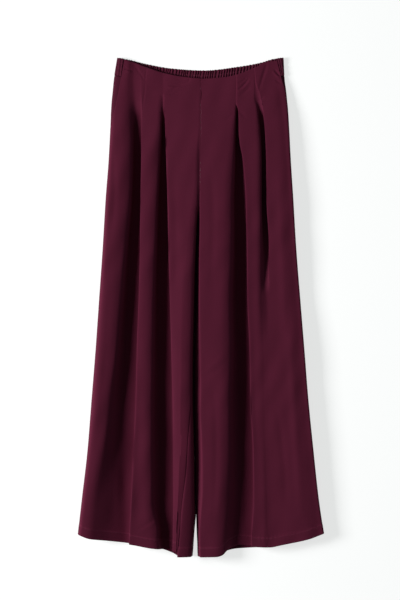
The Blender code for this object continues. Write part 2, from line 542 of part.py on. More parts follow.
def wall_from_grids(name, outer, inner, colour, collection):
    """A closed wall between two grids of points, as a named object.

    Both faces of the wall are cut into triangles along the same, shorter diagonals.
    """
    rows, cols = outer.shape[:2]
    cloth = bmesh.new()
    out = [[cloth.verts.new(p) for p in line] for line in outer]
    inn = [[cloth.verts.new(p) for p in line] for line in inner]
    for r in range(rows - 1):
        for c in range(cols - 1):
            falling = np.linalg.norm(outer[r, c] - outer[r + 1, c + 1])
            rising = np.linalg.norm(outer[r + 1, c] - outer[r, c + 1])
            corners = [(r, c), (r + 1, c), (r + 1, c + 1), (r, c + 1)]
            if rising < falling:
                corners = corners[1:] + corners[:1]
            for trio in (corners[:3], corners[2:] + corners[:1]):
                cloth.faces.new([out[i][j] for i, j in trio])
                cloth.faces.new([inn[i][j] for i, j in reversed(trio)])
    for r in range(rows - 1):
        cloth.faces.new((out[r + 1][0], out[r][0], inn[r][0], inn[r + 1][0]))
        cloth.faces.new((out[r][-1], out[r + 1][-1], inn[r + 1][-1], inn[r][-1]))
    for c in range(cols - 1):
        cloth.faces.new((out[0][c], out[0][c + 1], inn[0][c + 1], inn[0][c]))
        cloth.faces.new((out[-1][c + 1], out[-1][c], inn[-1][c], inn[-1][c + 1]))
    return finished(name, cloth, colour, collection)


def finished(name, mesh_data, colour, collection):
    """Puts a bmesh into a new object with its faces outwards and its material."""
    bmesh.ops.recalc_face_normals(mesh_data, faces=mesh_data.faces)
    mesh = bpy.data.meshes.new(name)
    mesh_data.to_mesh(mesh)
    mesh_data.free()
    mesh.shade_smooth()
    mesh.materials.append(cloth_material(name + "_cloth", colour))
    piece = bpy.data.objects.new(name, mesh)
    collection.objects.link(piece)
    return piece


def cloth_material(name, colour):
    """Matt wine cloth."""
    material = bpy.data.materials.new(name)
    material.use_nodes = True
    shader = material.node_tree.nodes["Principled BSDF"]
    shader.inputs["Base Color"].default_value = (*colour, 1.0)
    shader.inputs["Roughness"].default_value = 0.8
    shader.inputs["Metallic"].default_value = 0.0
    return material


Leg = namedtuple("Leg", "name hand side panels outer inner columns front_hem back_hem")
LEGS = [
    Leg("right", -1, RIGHT_SIDE, RIGHT_PANELS, RIGHT_OUTER, RIGHT_INNER, RIGHT_COLUMNS,
        FRONT_HEM_RIGHT, BACK_HEM_RIGHT),
    Leg("left", 1, LEFT_SIDE, LEFT_PANELS, LEFT_OUTER, LEFT_INNER, LEFT_COLUMNS,
        FRONT_HEM_LEFT, BACK_HEM_LEFT),
]


def front_part(y, leg, side, middle, panels, outer, inner):
    """A front's section at one level."""
    section = right_front if leg.hand < 0 else left_front
    return section(y, side, middle, panels, outer, inner)


def back_part(y, leg, side, middle, panels, outer, inner):
    """A back's section at one level, run so that its outward side is below."""
    parts = back_section(leg.hand, y, side, middle, panels)
    return parts if leg.hand < 0 else [part[::-1] for part in reversed(parts)]


def casing_bottom(x):
    """The y of the casing's lower edge's seam at the places x."""
    return edge_curve(BACK_WAIST, x) - BAND_HEIGHT - CASING_SEAM


def make_front(leg, collection):
    """A leg's front panel: its outer face, and its inner face one cloth away."""
    outer, normals = panel_grid(leg, front_part, leg.columns, ROWS_Y,
                                lambda x: edge_curve(FRONT_WAIST, x),
                                lambda x: edge_curve(leg.front_hem, x))
    return wall_from_grids("front_" + leg.name, outer, outer - CLOTH * normals, WINE, collection)


def make_back(leg, collection):
    """A leg's back panel: its outer face, and its inner face one cloth away."""
    columns = BACK_COLUMNS if leg.hand < 0 else BACK_COLUMNS[::-1]
    outer, normals = panel_grid(leg, back_part, columns, BACK_ROWS_Y, casing_bottom,
                                lambda x: edge_curve(leg.back_hem, x))
    return wall_from_grids("back_" + leg.name, outer, outer - CLOTH * normals, WINE, collection)


def band_path(level, count):
    """The casing's path at one level, from the left wrap under to the right wrap."""
    left, left_panels, right, right_panels = (
        rows_at(rows, np.array([level]))[0]
        for rows in (LEFT_SIDE, LEFT_PANELS, RIGHT_SIDE, RIGHT_PANELS))
    left_start = left.wrap + seam_wrap(*side_round(left, left_panels), left.wrap)
    right_start = right.wrap + seam_wrap(*side_round(right, right_panels), right.wrap)
    left_end = side_edge(left, left_panels, np.linspace(left_start, 2, DENSE))
    right_end = side_edge(right, right_panels, np.linspace(2, right_start, DENSE))
    flat = np.linspace(left_end[-1], right_end[0], DENSE)
    path = np.vstack([left_end, flat[1:-1], right_end])
    step = np.linalg.norm(np.diff(path, axis=0), axis=1)
    along = np.concatenate([[0.0], np.cumsum(step)])
    at = np.linspace(0, along[-1], count)
    ahead = np.gradient(path, axis=0)
    ahead /= np.linalg.norm(ahead, axis=1)[:, None]
    heading = np.unwrap(np.arctan2(ahead[:, 1], ahead[:, 0]))
    x, z, angle = (np.interp(at, along, v) for v in (path[:, 0], path[:, 1], heading))
    return np.column_stack([x, z, -np.sin(angle), np.cos(angle)])


def make_waistband(collection):
    """The gathered casing: flat where it lies on the floor, in waves on its other face."""
    count = GATHERS * WAVE_STEPS + 1
    wave = 0.5 - 0.5 * np.cos(np.linspace(0, GATHERS * 2 * np.pi, count))
    edges = []
    for level, drop in ((BAND_TOP_LEVEL, 0.0), (BAND_LOW_LEVEL, BAND_HEIGHT)):
        x, z, normal_x, normal_z = band_path(level, count).T
        y = edge_curve(BACK_WAIST, x) - drop
        from_side = np.minimum(x.max() - x, x - x.min())
        on_floor = np.clip(from_side / GATHER_FADE - 1, 0, 1) * (z < CLOTH)
        on_top = np.clip(z / CLOTH - 3, 0, 1)
        outer_in = GATHER_SHARE * GATHER_HEIGHT * (1 - wave) * on_top
        inner_in = BAND_THICK + GATHER_HEIGHT * wave * on_floor
        outer = np.column_stack([x - outer_in * normal_x, y, z - outer_in * normal_z])
        inner = np.column_stack([x - inner_in * normal_x, y, z - inner_in * normal_z])
        edges.append((outer, inner))
    (top_outer, top_inner), (low_outer, low_inner) = edges
    outer = np.array([top_outer, low_outer])
    inner = np.array([top_inner, low_inner])
    return wall_from_grids("back_waistband", outer, inner, WINE_DARK, collection)


def facing_run(leg, side, panels, inset):
    """A pocket facing at one level: the round edge drawn in by inset, and its tuck."""
    crest, top, rim, mid = side_round(side, panels)
    edge = round_edge(crest, top - inset, rim - leg.hand * inset, mid,
                      np.linspace(1, 0, FACING_COLUMNS + 1))
    mouth = edge[:, 0][0]
    if side.wrap < 1:
        mouth = crest + (rim - crest) * np.sin(side.wrap * np.pi / 2)
    last = min(mouth * leg.hand, crest * leg.hand) - POCKET_TUCK
    return np.vstack([edge, [(leg.hand * last, top - inset)]])


def make_pocket_facing(leg, collection):
    """The strip behind a pocket's slanting mouth, from the side seam to under the front."""
    mouth_end = max(row.y for row in leg.side if row.wrap >= 1.0) - POCKET_END
    top_y = BACK_WAIST[0].y - BAND_HEIGHT
    levels = np.linspace(top_y, mouth_end, FACING_ROWS)
    faces = []
    for inset in (CLOTH + LAYER, 2 * CLOTH + LAYER):
        face = np.zeros((FACING_ROWS, FACING_COLUMNS + 2, 3))
        table = zip(levels, rows_at(leg.side, levels), rows_at(leg.panels, levels))
        for row, (y, side, panels) in enumerate(table):
            x, z = facing_run(leg, side, panels, inset).T
            share = (y - mouth_end) / (top_y - mouth_end)
            face[row] = np.column_stack([x, mouth_end + share * (casing_bottom(x) - mouth_end), z])
        faces.append(face)
    outer, inner = faces
    return wall_from_grids("pocket_facing_" + leg.name, outer, inner, WINE_DARK, collection)


def clear_scene():
    """Removes every object, so that the file holds only this model."""
    for thing in list(bpy.data.objects):
        bpy.data.objects.remove(thing, do_unlink=True)


def main():
    clear_scene()
    collection = bpy.data.collections.new("palazzo_pants")
    bpy.context.scene.collection.children.link(collection)
    for leg in LEGS:
        make_front(leg, collection)
        make_back(leg, collection)
        make_pocket_facing(leg, collection)
    make_waistband(collection)


if __name__ == "__main__":
    main()
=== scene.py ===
"""Palazzo pants laid out flat on their back, in wine crepe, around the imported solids.

Each piece of cloth is a thin shell on the form of its own solid. A leg is cut across into
sections, and each section's shape comes from short tables: the folds, the panels between
them, the sides and the middle. The sections are lofted from waist to hem, and sewn pleats,
creases, hems and gathers are worked into the loft as low relief.
"""

from collections import namedtuple

import bpy
import numpy as np
from bpy.props import FloatProperty, FloatVectorProperty, IntProperty, PointerProperty
from bpy.types import Operator, Panel, PropertyGroup
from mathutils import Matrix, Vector


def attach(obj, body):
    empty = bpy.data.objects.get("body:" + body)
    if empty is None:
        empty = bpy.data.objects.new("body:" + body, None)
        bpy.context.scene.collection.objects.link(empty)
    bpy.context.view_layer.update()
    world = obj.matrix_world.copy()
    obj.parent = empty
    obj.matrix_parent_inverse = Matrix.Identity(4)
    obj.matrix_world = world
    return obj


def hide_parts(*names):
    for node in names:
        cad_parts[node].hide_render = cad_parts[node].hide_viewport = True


bl_info = {
    "name": "Palazzo Pants",
    "version": (1, 0, 0),
    "blender": (4, 5, 0),
    "location": "3D View > Sidebar > Palazzo",
    "description": "Makes wide-leg crepe trousers laid flat, with pleated fronts and a gathered waist",
    "category": "Object",
}

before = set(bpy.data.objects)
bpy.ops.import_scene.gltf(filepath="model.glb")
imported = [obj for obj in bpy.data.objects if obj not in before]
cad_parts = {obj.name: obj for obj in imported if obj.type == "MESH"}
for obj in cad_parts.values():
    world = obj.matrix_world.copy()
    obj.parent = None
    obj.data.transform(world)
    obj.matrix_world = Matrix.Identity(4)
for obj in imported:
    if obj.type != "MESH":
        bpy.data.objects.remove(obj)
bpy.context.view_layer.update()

# ---- sizes shared with the solids, metres ----
SEAM = 0.0003               # gap between two pieces where a seam joins them
CASING_SEAM = 0.0006        # the same below the elastic casing
LAYER = 0.0026              # how far the pocket facing lies under the front's face
CROTCH_Y = 0.195            # where the legs part
BAND_HEIGHT = 0.036         # elastic casing, top edge to bottom edge
POCKET_TUCK = 0.005         # how far the facing runs on under the front's edge
POCKET_END = 0.022          # how far the facing runs on below the pocket's mouth
MOUTH_WRAP = 0.4            # wrap of the front up to which the facing reaches out to the rim
MID_HEIGHT = 0.40           # height of a round edge's widest point, as a share of the edge's
CURL_RADIUS = 0.008         # largest radius with which a round edge curls under to the floor
EDGE_FULLNESS = {-1: 3.2, 1: 5.0}   # power of a side's upper curve: 2 is an ellipse
LEFT_RIM = 0.65             # height of the left leg's rim, as a share of its shelf's
TAIL_ROUND = 0.0040         # width in which a leg's inner edge turns down at its rim
TAIL_START = 0.030          # below the crotch, the length in which that rounding sets in
TAIL_LOWER = 0.4            # how much lower its rim's widest point then is, as a share
BACK_CURL = 0.022           # how far from its inner edge a back panel lies flat
BACK_LIFT = 0.0025          # height of the back's centre seam at the crotch
OFF_FLOOR = (0.0005, 0.0030)    # heights between which the back stops lying on the floor
LIFT_LENGTH = 0.050         # how far above the crotch it begins to rise

# ---- the outline at the sides ----
# rim: the widest point. crest: where the round edge begins. sink: how much lower than the
# outer panel it begins. wrap: where the front panel ends, 0 on the crest, 1 at the rim,
# 2 on the floor.
Side = namedtuple("Side", "y rim crest sink wrap")
RIGHT_SIDE = [
    Side(0.490, -0.1676, -0.1530, 0.0, 0.03),
    Side(0.455, -0.1740, -0.1570, 0.0, 0.10),
    Side(0.430, -0.1764, -0.1604, 0.0, 0.13),
    Side(0.410, -0.1784, -0.1634, 0.0, 0.20),
    Side(0.390, -0.1796, -0.1656, 0.0, 0.32),
    Side(0.372, -0.1804, -0.1674, 0.0, 0.50),
    Side(0.355, -0.1810, -0.1690, 0.0, 1.00),
    Side(0.325, -0.1824, -0.1710, 0.0, 1.28),
    Side(0.295, -0.1840, -0.1730, 0.0, 1.35),
    Side(0.215, -0.1900, -0.1790, 0.0, 1.35),
    Side(0.115, -0.1960, -0.1850, 0.0, 1.35),
    Side(0.015, -0.2030, -0.1910, 0.0, 1.35),
    Side(-0.085, -0.2100, -0.1980, 0.0, 1.35),
    Side(-0.185, -0.2180, -0.2060, 0.0, 1.35),
    Side(-0.285, -0.2260, -0.2150, 0.0, 1.35),
    Side(-0.385, -0.2376, -0.2270, 0.0, 1.35),
    Side(-0.500, -0.2504, -0.2390, 0.0, 1.35),
]
LEFT_SIDE = [
    Side(0.490, 0.1650, 0.1500, 0.0, 0.09),
    Side(0.455, 0.1672, 0.1530, 0.0004, 0.38),
    Side(0.430, 0.1704, 0.1574, 0.0007, 0.62),
    Side(0.410, 0.1724, 0.1608, 0.0009, 0.85),
    Side(0.390, 0.1740, 0.1640, 0.0011, 1.00),
    Side(0.355, 0.1760, 0.1676, 0.0013, 1.20),
    Side(0.295, 0.1790, 0.1722, 0.0016, 1.35),
    Side(0.215, 0.1840, 0.1780, 0.0018, 1.35),
    Side(0.115, 0.1900, 0.1840, 0.0020, 1.35),
    Side(0.015, 0.1980, 0.1920, 0.0022, 1.35),
    Side(-0.085, 0.2060, 0.2000, 0.0024, 1.35),
    Side(-0.185, 0.2140, 0.2080, 0.0024, 1.35),
    Side(-0.285, 0.2240, 0.2180, 0.0024, 1.35),
    Side(-0.385, 0.2350, 0.2290, 0.0026, 1.35),
    Side(-0.500, 0.2530, 0.2470, 0.0028, 1.35),
]

# ---- the middle: the centre seam, and below the crotch the legs' inner edges ----
# right, left: where the right and the left leg end.
# low: height of the seam, then of the right leg's low tail, which meets the left leg's rim.
# shelf: height of the seam, then of the low shelf under the left leg's edge.
# edge: where the left leg's top ends, over its shelf.
# seam_right, seam_left: where each inseam runs, 0 on top, 1 at the rim, 2 on the floor.
# fall_right, brink: where the right leg's inner panel begins to bend down, and turns steep.
# fall_left: where the left leg's top begins to bend down to its edge.
Middle = namedtuple(
    "Middle", "y right left low shelf edge seam_right seam_left fall_right brink fall_left")
MIDDLE = [
    Middle(0.490, -0.0001, 0.0001, 0.0064, 0.0064, 0.0006, 1.00, 1.00, -0.0050, -0.0020, 0.0030),
    Middle(0.455, -0.0001, 0.0001, 0.0078, 0.0078, 0.0006, 1.00, 1.00, -0.0050, -0.0020, 0.0030),
    Middle(0.420, -0.0001, 0.0001, 0.0110, 0.0110, 0.0006, 1.00, 1.00, -0.0050, -0.0020, 0.0030),
    Middle(0.390, -0.0003, -0.0001, 0.0154, 0.0154, 0.0004, 1.00, 1.00, -0.0054, -0.0024, 0.0028),
    Middle(0.355, -0.0007, -0.0005, 0.0206, 0.0206, 0.0000, 1.00, 1.00, -0.0062, -0.0030, 0.0024),
    Middle(0.315, -0.0012, -0.0010, 0.0246, 0.0250, -0.0004, 1.00, 1.00, -0.0100, -0.0050, 0.0022),
    Middle(0.275, -0.0015, -0.0013, 0.0270, 0.0276, -0.0006, 1.00, 1.00, -0.0125, -0.0058, 0.0020),
    Middle(0.235, -0.0023, -0.0021, 0.0290, 0.0296, -0.0012, 1.00, 1.00, -0.0150, -0.0066, 0.0016),
    Middle(0.212, -0.0030, -0.0030, 0.0284, 0.0290, -0.0018, 1.00, 1.00, -0.0175, -0.0072, 0.0012),
    Middle(CROTCH_Y, -0.0041, -0.0043, 0.0270, 0.0272, -0.0024, 1.00, 1.00, -0.0200, -0.0078, 0.0010),
    Middle(0.180, -0.0052, -0.0055, 0.0200, 0.0240, -0.0026, 1.00, 1.05, -0.0220, -0.0084, 0.0008),
    Middle(0.155, -0.0064, -0.0069, 0.0086, 0.0210, -0.0028, 1.00, 1.20, -0.0245, -0.0096, 0.0006),
    Middle(0.115, -0.0074, -0.0080, 0.0080, 0.0240, -0.0034, 1.00, 1.30, -0.0280, -0.0114, 0.0004),
    Middle(0.075, -0.0086, -0.0092, 0.0080, 0.0240, -0.0040, 1.00, 1.40, -0.0320, -0.0130, 0.0000),
    Middle(0.015, -0.0092, -0.0098, 0.0080, 0.0240, -0.0040, 0.96, 1.40, -0.0345, -0.0148, 0.0000),
    Middle(-0.085, -0.0128, -0.0134, 0.0080, 0.0244, -0.0024, 0.86, 1.45, -0.0375, -0.0170, 0.0016),
    Middle(-0.146, -0.0132, -0.0138, 0.0080, 0.0246, -0.0010, 0.74, 1.45, -0.0385, -0.0180, 0.0030),
    Middle(-0.206, -0.0130, -0.0136, 0.0080, 0.0246, -0.0014, 0.47, 1.45, -0.0395, -0.0172, 0.0026),
    Middle(-0.266, -0.0118, -0.0124, 0.0080, 0.0244, 0.0008, 0.32, 1.45, -0.0400, -0.0152, 0.0046),
    Middle(-0.326, -0.0116, -0.0122, 0.0080, 0.0240, 0.0020, 0.26, 1.45, -0.0430, -0.0138, 0.0058),
    Middle(-0.366, -0.0112, -0.0118, 0.0080, 0.0240, 0.0020, 0.19, 1.45, -0.0446, -0.0134, 0.0058),
    Middle(-0.406, -0.0096, -0.0100, 0.0080, 0.0244, 0.0000, 0.13, 1.45, -0.0470, -0.0128, 0.0040),
    Middle(-0.446, -0.0128, -0.0088, 0.0090, 0.0210, -0.0030, 0.10, 1.45, -0.0484, -0.0150, 0.0010),
    Middle(-0.476, -0.0150, -0.0074, 0.0100, 0.0210, -0.0024, 0.06, 1.45, -0.0490, -0.0172, 0.0016),
    Middle(-0.500, -0.0172, -0.0064, 0.0110, 0.0210, -0.0014, 0.05, 1.45, -0.0505, -0.0194, 0.0026),
]

# ---- heights of the panels between the folds, above the floor ----
Panels = namedtuple("Panels", "y outer middle inner")
RIGHT_PANELS = [
    Panels(0.490, 0.0088, 0.0070, 0.0066),
    Panels(0.466, 0.0108, 0.0084, 0.0073),
    Panels(0.454, 0.0120, 0.0094, 0.0080),
    Panels(0.441, 0.0134, 0.0102, 0.0089),
    Panels(0.428, 0.0150, 0.0112, 0.0103),
    Panels(0.414, 0.0168, 0.0128, 0.0122),
    Panels(0.398, 0.0188, 0.0150, 0.0145),
    Panels(0.382, 0.0206, 0.0172, 0.0170),
    Panels(0.354, 0.0228, 0.0208, 0.0211),
    Panels(0.294, 0.0268, 0.0265, 0.0278),
    Panels(0.214, 0.0300, 0.0290, 0.0330),
    Panels(0.114, 0.0320, 0.0300, 0.0352),
    Panels(-0.086, 0.0330, 0.0300, 0.0358),
    Panels(-0.286, 0.0338, 0.0300, 0.0354),
    Panels(-0.386, 0.0330, 0.0286, 0.0340),
    Panels(-0.500, 0.0300, 0.0256, 0.0306),
]
LEFT_PANELS = [
    Panels(0.490, 0.0074, 0.0070, 0.0066),
    Panels(0.466, 0.0083, 0.0080, 0.0073),
    Panels(0.454, 0.0092, 0.0089, 0.0080),
    Panels(0.441, 0.0103, 0.0100, 0.0089),
    Panels(0.428, 0.0117, 0.0112, 0.0103),
    Panels(0.414, 0.0135, 0.0128, 0.0122),
    Panels(0.398, 0.0154, 0.0148, 0.0145),
    Panels(0.382, 0.0174, 0.0168, 0.0170),
    Panels(0.354, 0.0198, 0.0202, 0.0209),
    Panels(0.294, 0.0226, 0.0252, 0.0264),
    Panels(0.214, 0.0244, 0.0278, 0.0300),
    Panels(0.114, 0.0246, 0.0286, 0.0322),
    Panels(0.064, 0.0234, 0.0286, 0.0326),
    Panels(0.014, 0.0228, 0.0284, 0.0330),
    Panels(-0.036, 0.0252, 0.0284, 0.0332),
    Panels(-0.086, 0.0270, 0.0284, 0.0334),
    Panels(-0.286, 0.0268, 0.0282, 0.0334),
    Panels(-0.386, 0.0260, 0.0275, 0.0326),
    Panels(-0.500, 0.0240, 0.0258, 0.0300),
]

# ---- the folds: from -X to +X a panel drops to a valley, which the next panel's edge closes ----
# fall: where the panel begins to bend down. brink: where it turns steep. foot: where the
# steep part ends. edge: the next panel's edge. low: the valley's height, a hair under the panels
# where the pleat is sewn shut. ramp: share of the rise to the edge that is a slope across the valley.
# lean: how softly the edge is rounded. tuck: how far the valley runs on under the edge.
# crown: how much higher the next panel is than its edge.
Fold = namedtuple("Fold", "y fall brink foot edge low ramp lean tuck crown")
RIGHT_OUTER = [
    Fold(0.490, -0.1480, -0.1400, -0.1345, -0.1240, 0.0064, 0.90, 0.0010, 0.0, 0.0),
    Fold(0.466, -0.1500, -0.1410, -0.1340, -0.1220, 0.0076, 0.90, 0.0010, 0.0, 0.0),
    Fold(0.454, -0.1535, -0.1425, -0.1345, -0.1200, 0.0085, 0.90, 0.0010, 0.0, 0.0),
    Fold(0.441, -0.1555, -0.1425, -0.1340, -0.1190, 0.0093, 0.90, 0.0010, 0.0, 0.0),
    Fold(0.428, -0.1575, -0.1430, -0.1330, -0.1190, 0.0101, 0.90, 0.0010, 0.0, 0.0),
    Fold(0.414, -0.1595, -0.1424, -0.1320, -0.1190, 0.0106, 0.80, 0.0010, 0.0, 0.0),
    Fold(0.398, -0.1605, -0.1410, -0.1310, -0.1188, 0.0098, 0.40, 0.0008, 0.0, 0.0001),
    Fold(0.382, -0.1620, -0.1396, -0.1320, -0.1184, 0.0074, 0.10, 0.0008, 0.0006, 0.0002),
    Fold(0.354, -0.1655, -0.1380, -0.1320, -0.1188, 0.0050, 0.04, 0.0007, 0.0020, 0.0003),
    Fold(0.294, -0.1700, -0.1366, -0.1310, -0.1190, 0.0048, 0.00, 0.0007, 0.0026, 0.0003),
    Fold(0.214, -0.1765, -0.1394, -0.1340, -0.1206, 0.0048, 0.00, 0.0007, 0.0026, 0.0003),
    Fold(0.114, -0.1820, -0.1490, -0.1430, -0.1216, 0.0048, 0.00, 0.0007, 0.0026, 0.0002),
    Fold(0.014, -0.1860, -0.1574, -0.1500, -0.1240, 0.0048, 0.00, 0.0008, 0.0024, 0.0003),
    Fold(-0.086, -0.1920, -0.1660, -0.1570, -0.1276, 0.0048, 0.00, 0.0010, 0.0020, 0.0003),
    Fold(-0.186, -0.2050, -0.1780, -0.1640, -0.1300, 0.0048, 0.00, 0.0012, 0.0018, -0.0004),
    Fold(-0.286, -0.2120, -0.1900, -0.1640, -0.1340, 0.0048, 0.00, 0.0007, 0.0022, -0.0012),
    Fold(-0.386, -0.2260, -0.2060, -0.1560, -0.1390, 0.0048, 0.00, 0.0006, 0.0022, -0.0022),
    Fold(-0.446, -0.2310, -0.2110, -0.1570, -0.1420, 0.0048, 0.00, 0.0006, 0.0022, -0.0024),
    Fold(-0.500, -0.2340, -0.2140, -0.1580, -0.1440, 0.0048, 0.00, 0.0006, 0.0022, -0.0024),
]
RIGHT_INNER = [
    Fold(0.490, -0.1000, -0.0800, -0.0772, -0.0746, 0.0070, 1.00, 0.0006, 0.0, 0.0),
    Fold(0.466, -0.1000, -0.0800, -0.0772, -0.0746, 0.0080, 1.00, 0.0006, 0.0, 0.0),
    Fold(0.454, -0.1000, -0.0800, -0.0772, -0.0746, 0.0090, 1.00, 0.0006, 0.0, 0.0),
    Fold(0.441, -0.0980, -0.0800, -0.0772, -0.0746, 0.0100, 1.00, 0.0006, 0.0, 0.0),
    Fold(0.432, -0.0940, -0.0796, -0.0772, -0.0744, 0.0110, 0.80, 0.0006, 0.0, 0.0),
    Fold(0.424, -0.0900, -0.0790, -0.0768, -0.0742, 0.0106, 0.40, 0.0005, 0.0001, 0.0),
    Fold(0.414, -0.0870, -0.0786, -0.0766, -0.0742, 0.0110, 0.10, 0.0004, 0.0003, 0.0001),
    Fold(0.398, -0.0880, -0.0792, -0.0768, -0.0738, 0.0120, 0.00, 0.0004, 0.0008, 0.0001),
    Fold(0.382, -0.0880, -0.0796, -0.0768, -0.0726, 0.0110, 0.00, 0.0006, 0.0012, 0.0002),
    Fold(0.354, -0.0910, -0.0796, -0.0764, -0.0714, 0.0050, 0.00, 0.0006, 0.0026, 0.0002),
    Fold(0.294, -0.1060, -0.0816, -0.0780, -0.0694, 0.0048, 0.00, 0.0006, 0.0026, 0.0002),
    Fold(0.214, -0.1090, -0.0854, -0.0810, -0.0668, 0.0048, 0.00, 0.0006, 0.0026, 0.0003),
    Fold(0.114, -0.1120, -0.0894, -0.0840, -0.0648, 0.0048, 0.00, 0.0007, 0.0024, 0.0016),
    Fold(0.014, -0.1140, -0.0932, -0.0870, -0.0620, 0.0048, 0.00, 0.0008, 0.0020, 0.0026),
    Fold(-0.086, -0.1150, -0.0946, -0.0880, -0.0592, 0.0048, 0.00, 0.0008, 0.0018, 0.0032),
    Fold(-0.186, -0.1160, -0.0960, -0.0890, -0.0568, 0.0048, 0.00, 0.0008, 0.0018, 0.0034),
    Fold(-0.286, -0.1160, -0.0960, -0.0880, -0.0556, 0.0048, 0.00, 0.0008, 0.0018, 0.0034),
    Fold(-0.386, -0.1160, -0.0960, -0.0860, -0.0548, 0.0048, 0.00, 0.0008, 0.0018, 0.0030),
    Fold(-0.446, -0.1040, -0.0850, -0.0780, -0.0560, 0.0050, 0.00, 0.0008, 0.0018, 0.0012),
    Fold(-0.500, -0.1020, -0.0840, -0.0770, -0.0566, 0.0050, 0.00, 0.0008, 0.0018, 0.0008),
]
LEFT_INNER = [
    Fold(0.490, 0.0690, 0.0700, 0.0708, 0.0719, 0.0070, 1.00, 0.0004, 0.0, 0.0),
    Fold(0.466, 0.0690, 0.0700, 0.0708, 0.0719, 0.0080, 1.00, 0.0004, 0.0, 0.0),
    Fold(0.441, 0.0688, 0.0697, 0.0705, 0.0716, 0.0090, 1.00, 0.0004, 0.0, 0.0),
    Fold(0.428, 0.0686, 0.0695, 0.0703, 0.0714, 0.0105, 1.00, 0.0004, 0.0, 0.0),
    Fold(0.414, 0.0684, 0.0693, 0.0701, 0.0713, 0.0124, 1.00, 0.0004, 0.0, 0.0),
    Fold(0.404, 0.0680, 0.0692, 0.0702, 0.0716, 0.0132, 0.60, 0.0004, 0.0, 0.0),
    Fold(0.398, 0.0672, 0.0696, 0.0708, 0.0728, 0.0120, 0.10, 0.0005, 0.0, 0.0001),
    Fold(0.390, 0.0650, 0.0694, 0.0710, 0.0742, 0.0098, 0.00, 0.0005, 0.0010, -0.0002),
    Fold(0.382, 0.0640, 0.0692, 0.0710, 0.0746, 0.0072, 0.00, 0.0005, 0.0016, -0.0004),
    Fold(0.368, 0.0610, 0.0688, 0.0708, 0.0748, 0.0054, 0.00, 0.0005, 0.0020, -0.0006),
    Fold(0.354, 0.0580, 0.0686, 0.0710, 0.0748, 0.0048, 0.04, 0.0006, 0.0016, -0.0008),
    Fold(0.324, 0.0530, 0.0676, 0.0706, 0.0772, 0.0048, 0.14, 0.0008, 0.0012, -0.0009),
    Fold(0.294, 0.0480, 0.0668, 0.0706, 0.0828, 0.0048, 0.26, 0.0008, 0.0010, -0.0009),
    Fold(0.214, 0.0420, 0.0636, 0.0684, 0.0886, 0.0048, 0.12, 0.0008, 0.0014, -0.0009),
    Fold(0.114, 0.0380, 0.0628, 0.0690, 0.0908, 0.0048, 0.02, 0.0008, 0.0020, -0.0009),
    Fold(0.014, 0.0350, 0.0600, 0.0660, 0.0920, 0.0048, 0.00, 0.0008, 0.0020, -0.0008),
    Fold(-0.086, 0.0350, 0.0616, 0.0680, 0.0964, 0.0048, 0.00, 0.0009, 0.0020, -0.0008),
    Fold(-0.186, 0.0340, 0.0592, 0.0660, 0.0980, 0.0048, 0.00, 0.0009, 0.0020, -0.0008),
    Fold(-0.286, 0.0310, 0.0596, 0.0680, 0.1030, 0.0048, 0.00, 0.0006, 0.0022, -0.0008),
    Fold(-0.386, 0.0250, 0.0556, 0.0700, 0.1040, 0.0048, 0.00, 0.0006, 0.0022, -0.0008),
    Fold(-0.446, 0.0230, 0.0500, 0.0660, 0.1010, 0.0050, 0.00, 0.0006, 0.0022, -0.0008),
    Fold(-0.500, 0.0230, 0.0480, 0.0640, 0.1000, 0.0052, 0.00, 0.0006, 0.0022, -0.0008),
]
LEFT_OUTER = [
    Fold(0.490, 0.1044, 0.1056, 0.1066, 0.1080, 0.0072, 1.00, 0.0006, 0.0, 0.0),
    Fold(0.466, 0.1046, 0.1058, 0.1068, 0.1082, 0.0082, 1.00, 0.0006, 0.0, 0.0),
    Fold(0.441, 0.1050, 0.1070, 0.1090, 0.1120, 0.0096, 0.90, 0.0006, 0.0, 0.0),
    Fold(0.428, 0.1046, 0.1076, 0.1110, 0.1170, 0.0104, 0.90, 0.0010, 0.0, 0.0),
    Fold(0.414, 0.1044, 0.1086, 0.1130, 0.1200, 0.0110, 0.90, 0.0010, 0.0, 0.0),
    Fold(0.398, 0.1070, 0.1116, 0.1156, 0.1230, 0.0102, 0.50, 0.0008, 0.0, 0.0001),
    Fold(0.382, 0.1080, 0.1134, 0.1160, 0.1242, 0.0084, 0.06, 0.0007, 0.0010, 0.0002),
    Fold(0.354, 0.1080, 0.1168, 0.1196, 0.1268, 0.0066, 0.00, 0.0007, 0.0016, 0.0002),
    Fold(0.294, 0.1090, 0.1196, 0.1226, 0.1294, 0.0056, 0.00, 0.0007, 0.0020, 0.0002),
    Fold(0.214, 0.1090, 0.1196, 0.1228, 0.1302, 0.0064, 0.00, 0.0008, 0.0018, 0.0002),
    Fold(0.114, 0.1096, 0.1200, 0.1240, 0.1350, 0.0150, 0.04, 0.0008, 0.0006, 0.0003),
    Fold(0.064, 0.1096, 0.1196, 0.1240, 0.1350, 0.0186, 0.60, 0.0012, 0.0, 0.0002),
    Fold(0.014, 0.1100, 0.1200, 0.1300, 0.1370, 0.0240, 1.00, 0.0014, 0.0, 0.0),
    Fold(-0.036, 0.1110, 0.1220, 0.1310, 0.1380, 0.0254, 1.00, 0.0014, 0.0, 0.0),
    Fold(-0.086, 0.1120, 0.1240, 0.1320, 0.1390, 0.0272, 1.00, 0.0014, 0.0, 0.0),
    Fold(-0.186, 0.1120, 0.1250, 0.1330, 0.1400, 0.0270, 1.00, 0.0014, 0.0, 0.0),
    Fold(-0.286, 0.1180, 0.1280, 0.1350, 0.1450, 0.0270, 1.00, 0.0014, 0.0, 0.0),
    Fold(-0.386, 0.1220, 0.1310, 0.1380, 0.1500, 0.0262, 1.00, 0.0014, 0.0, 0.0),
    Fold(-0.500, 0.1240, 0.1330, 0.1400, 0.1530, 0.0242, 1.00, 0.0014, 0.0, 0.0),
]

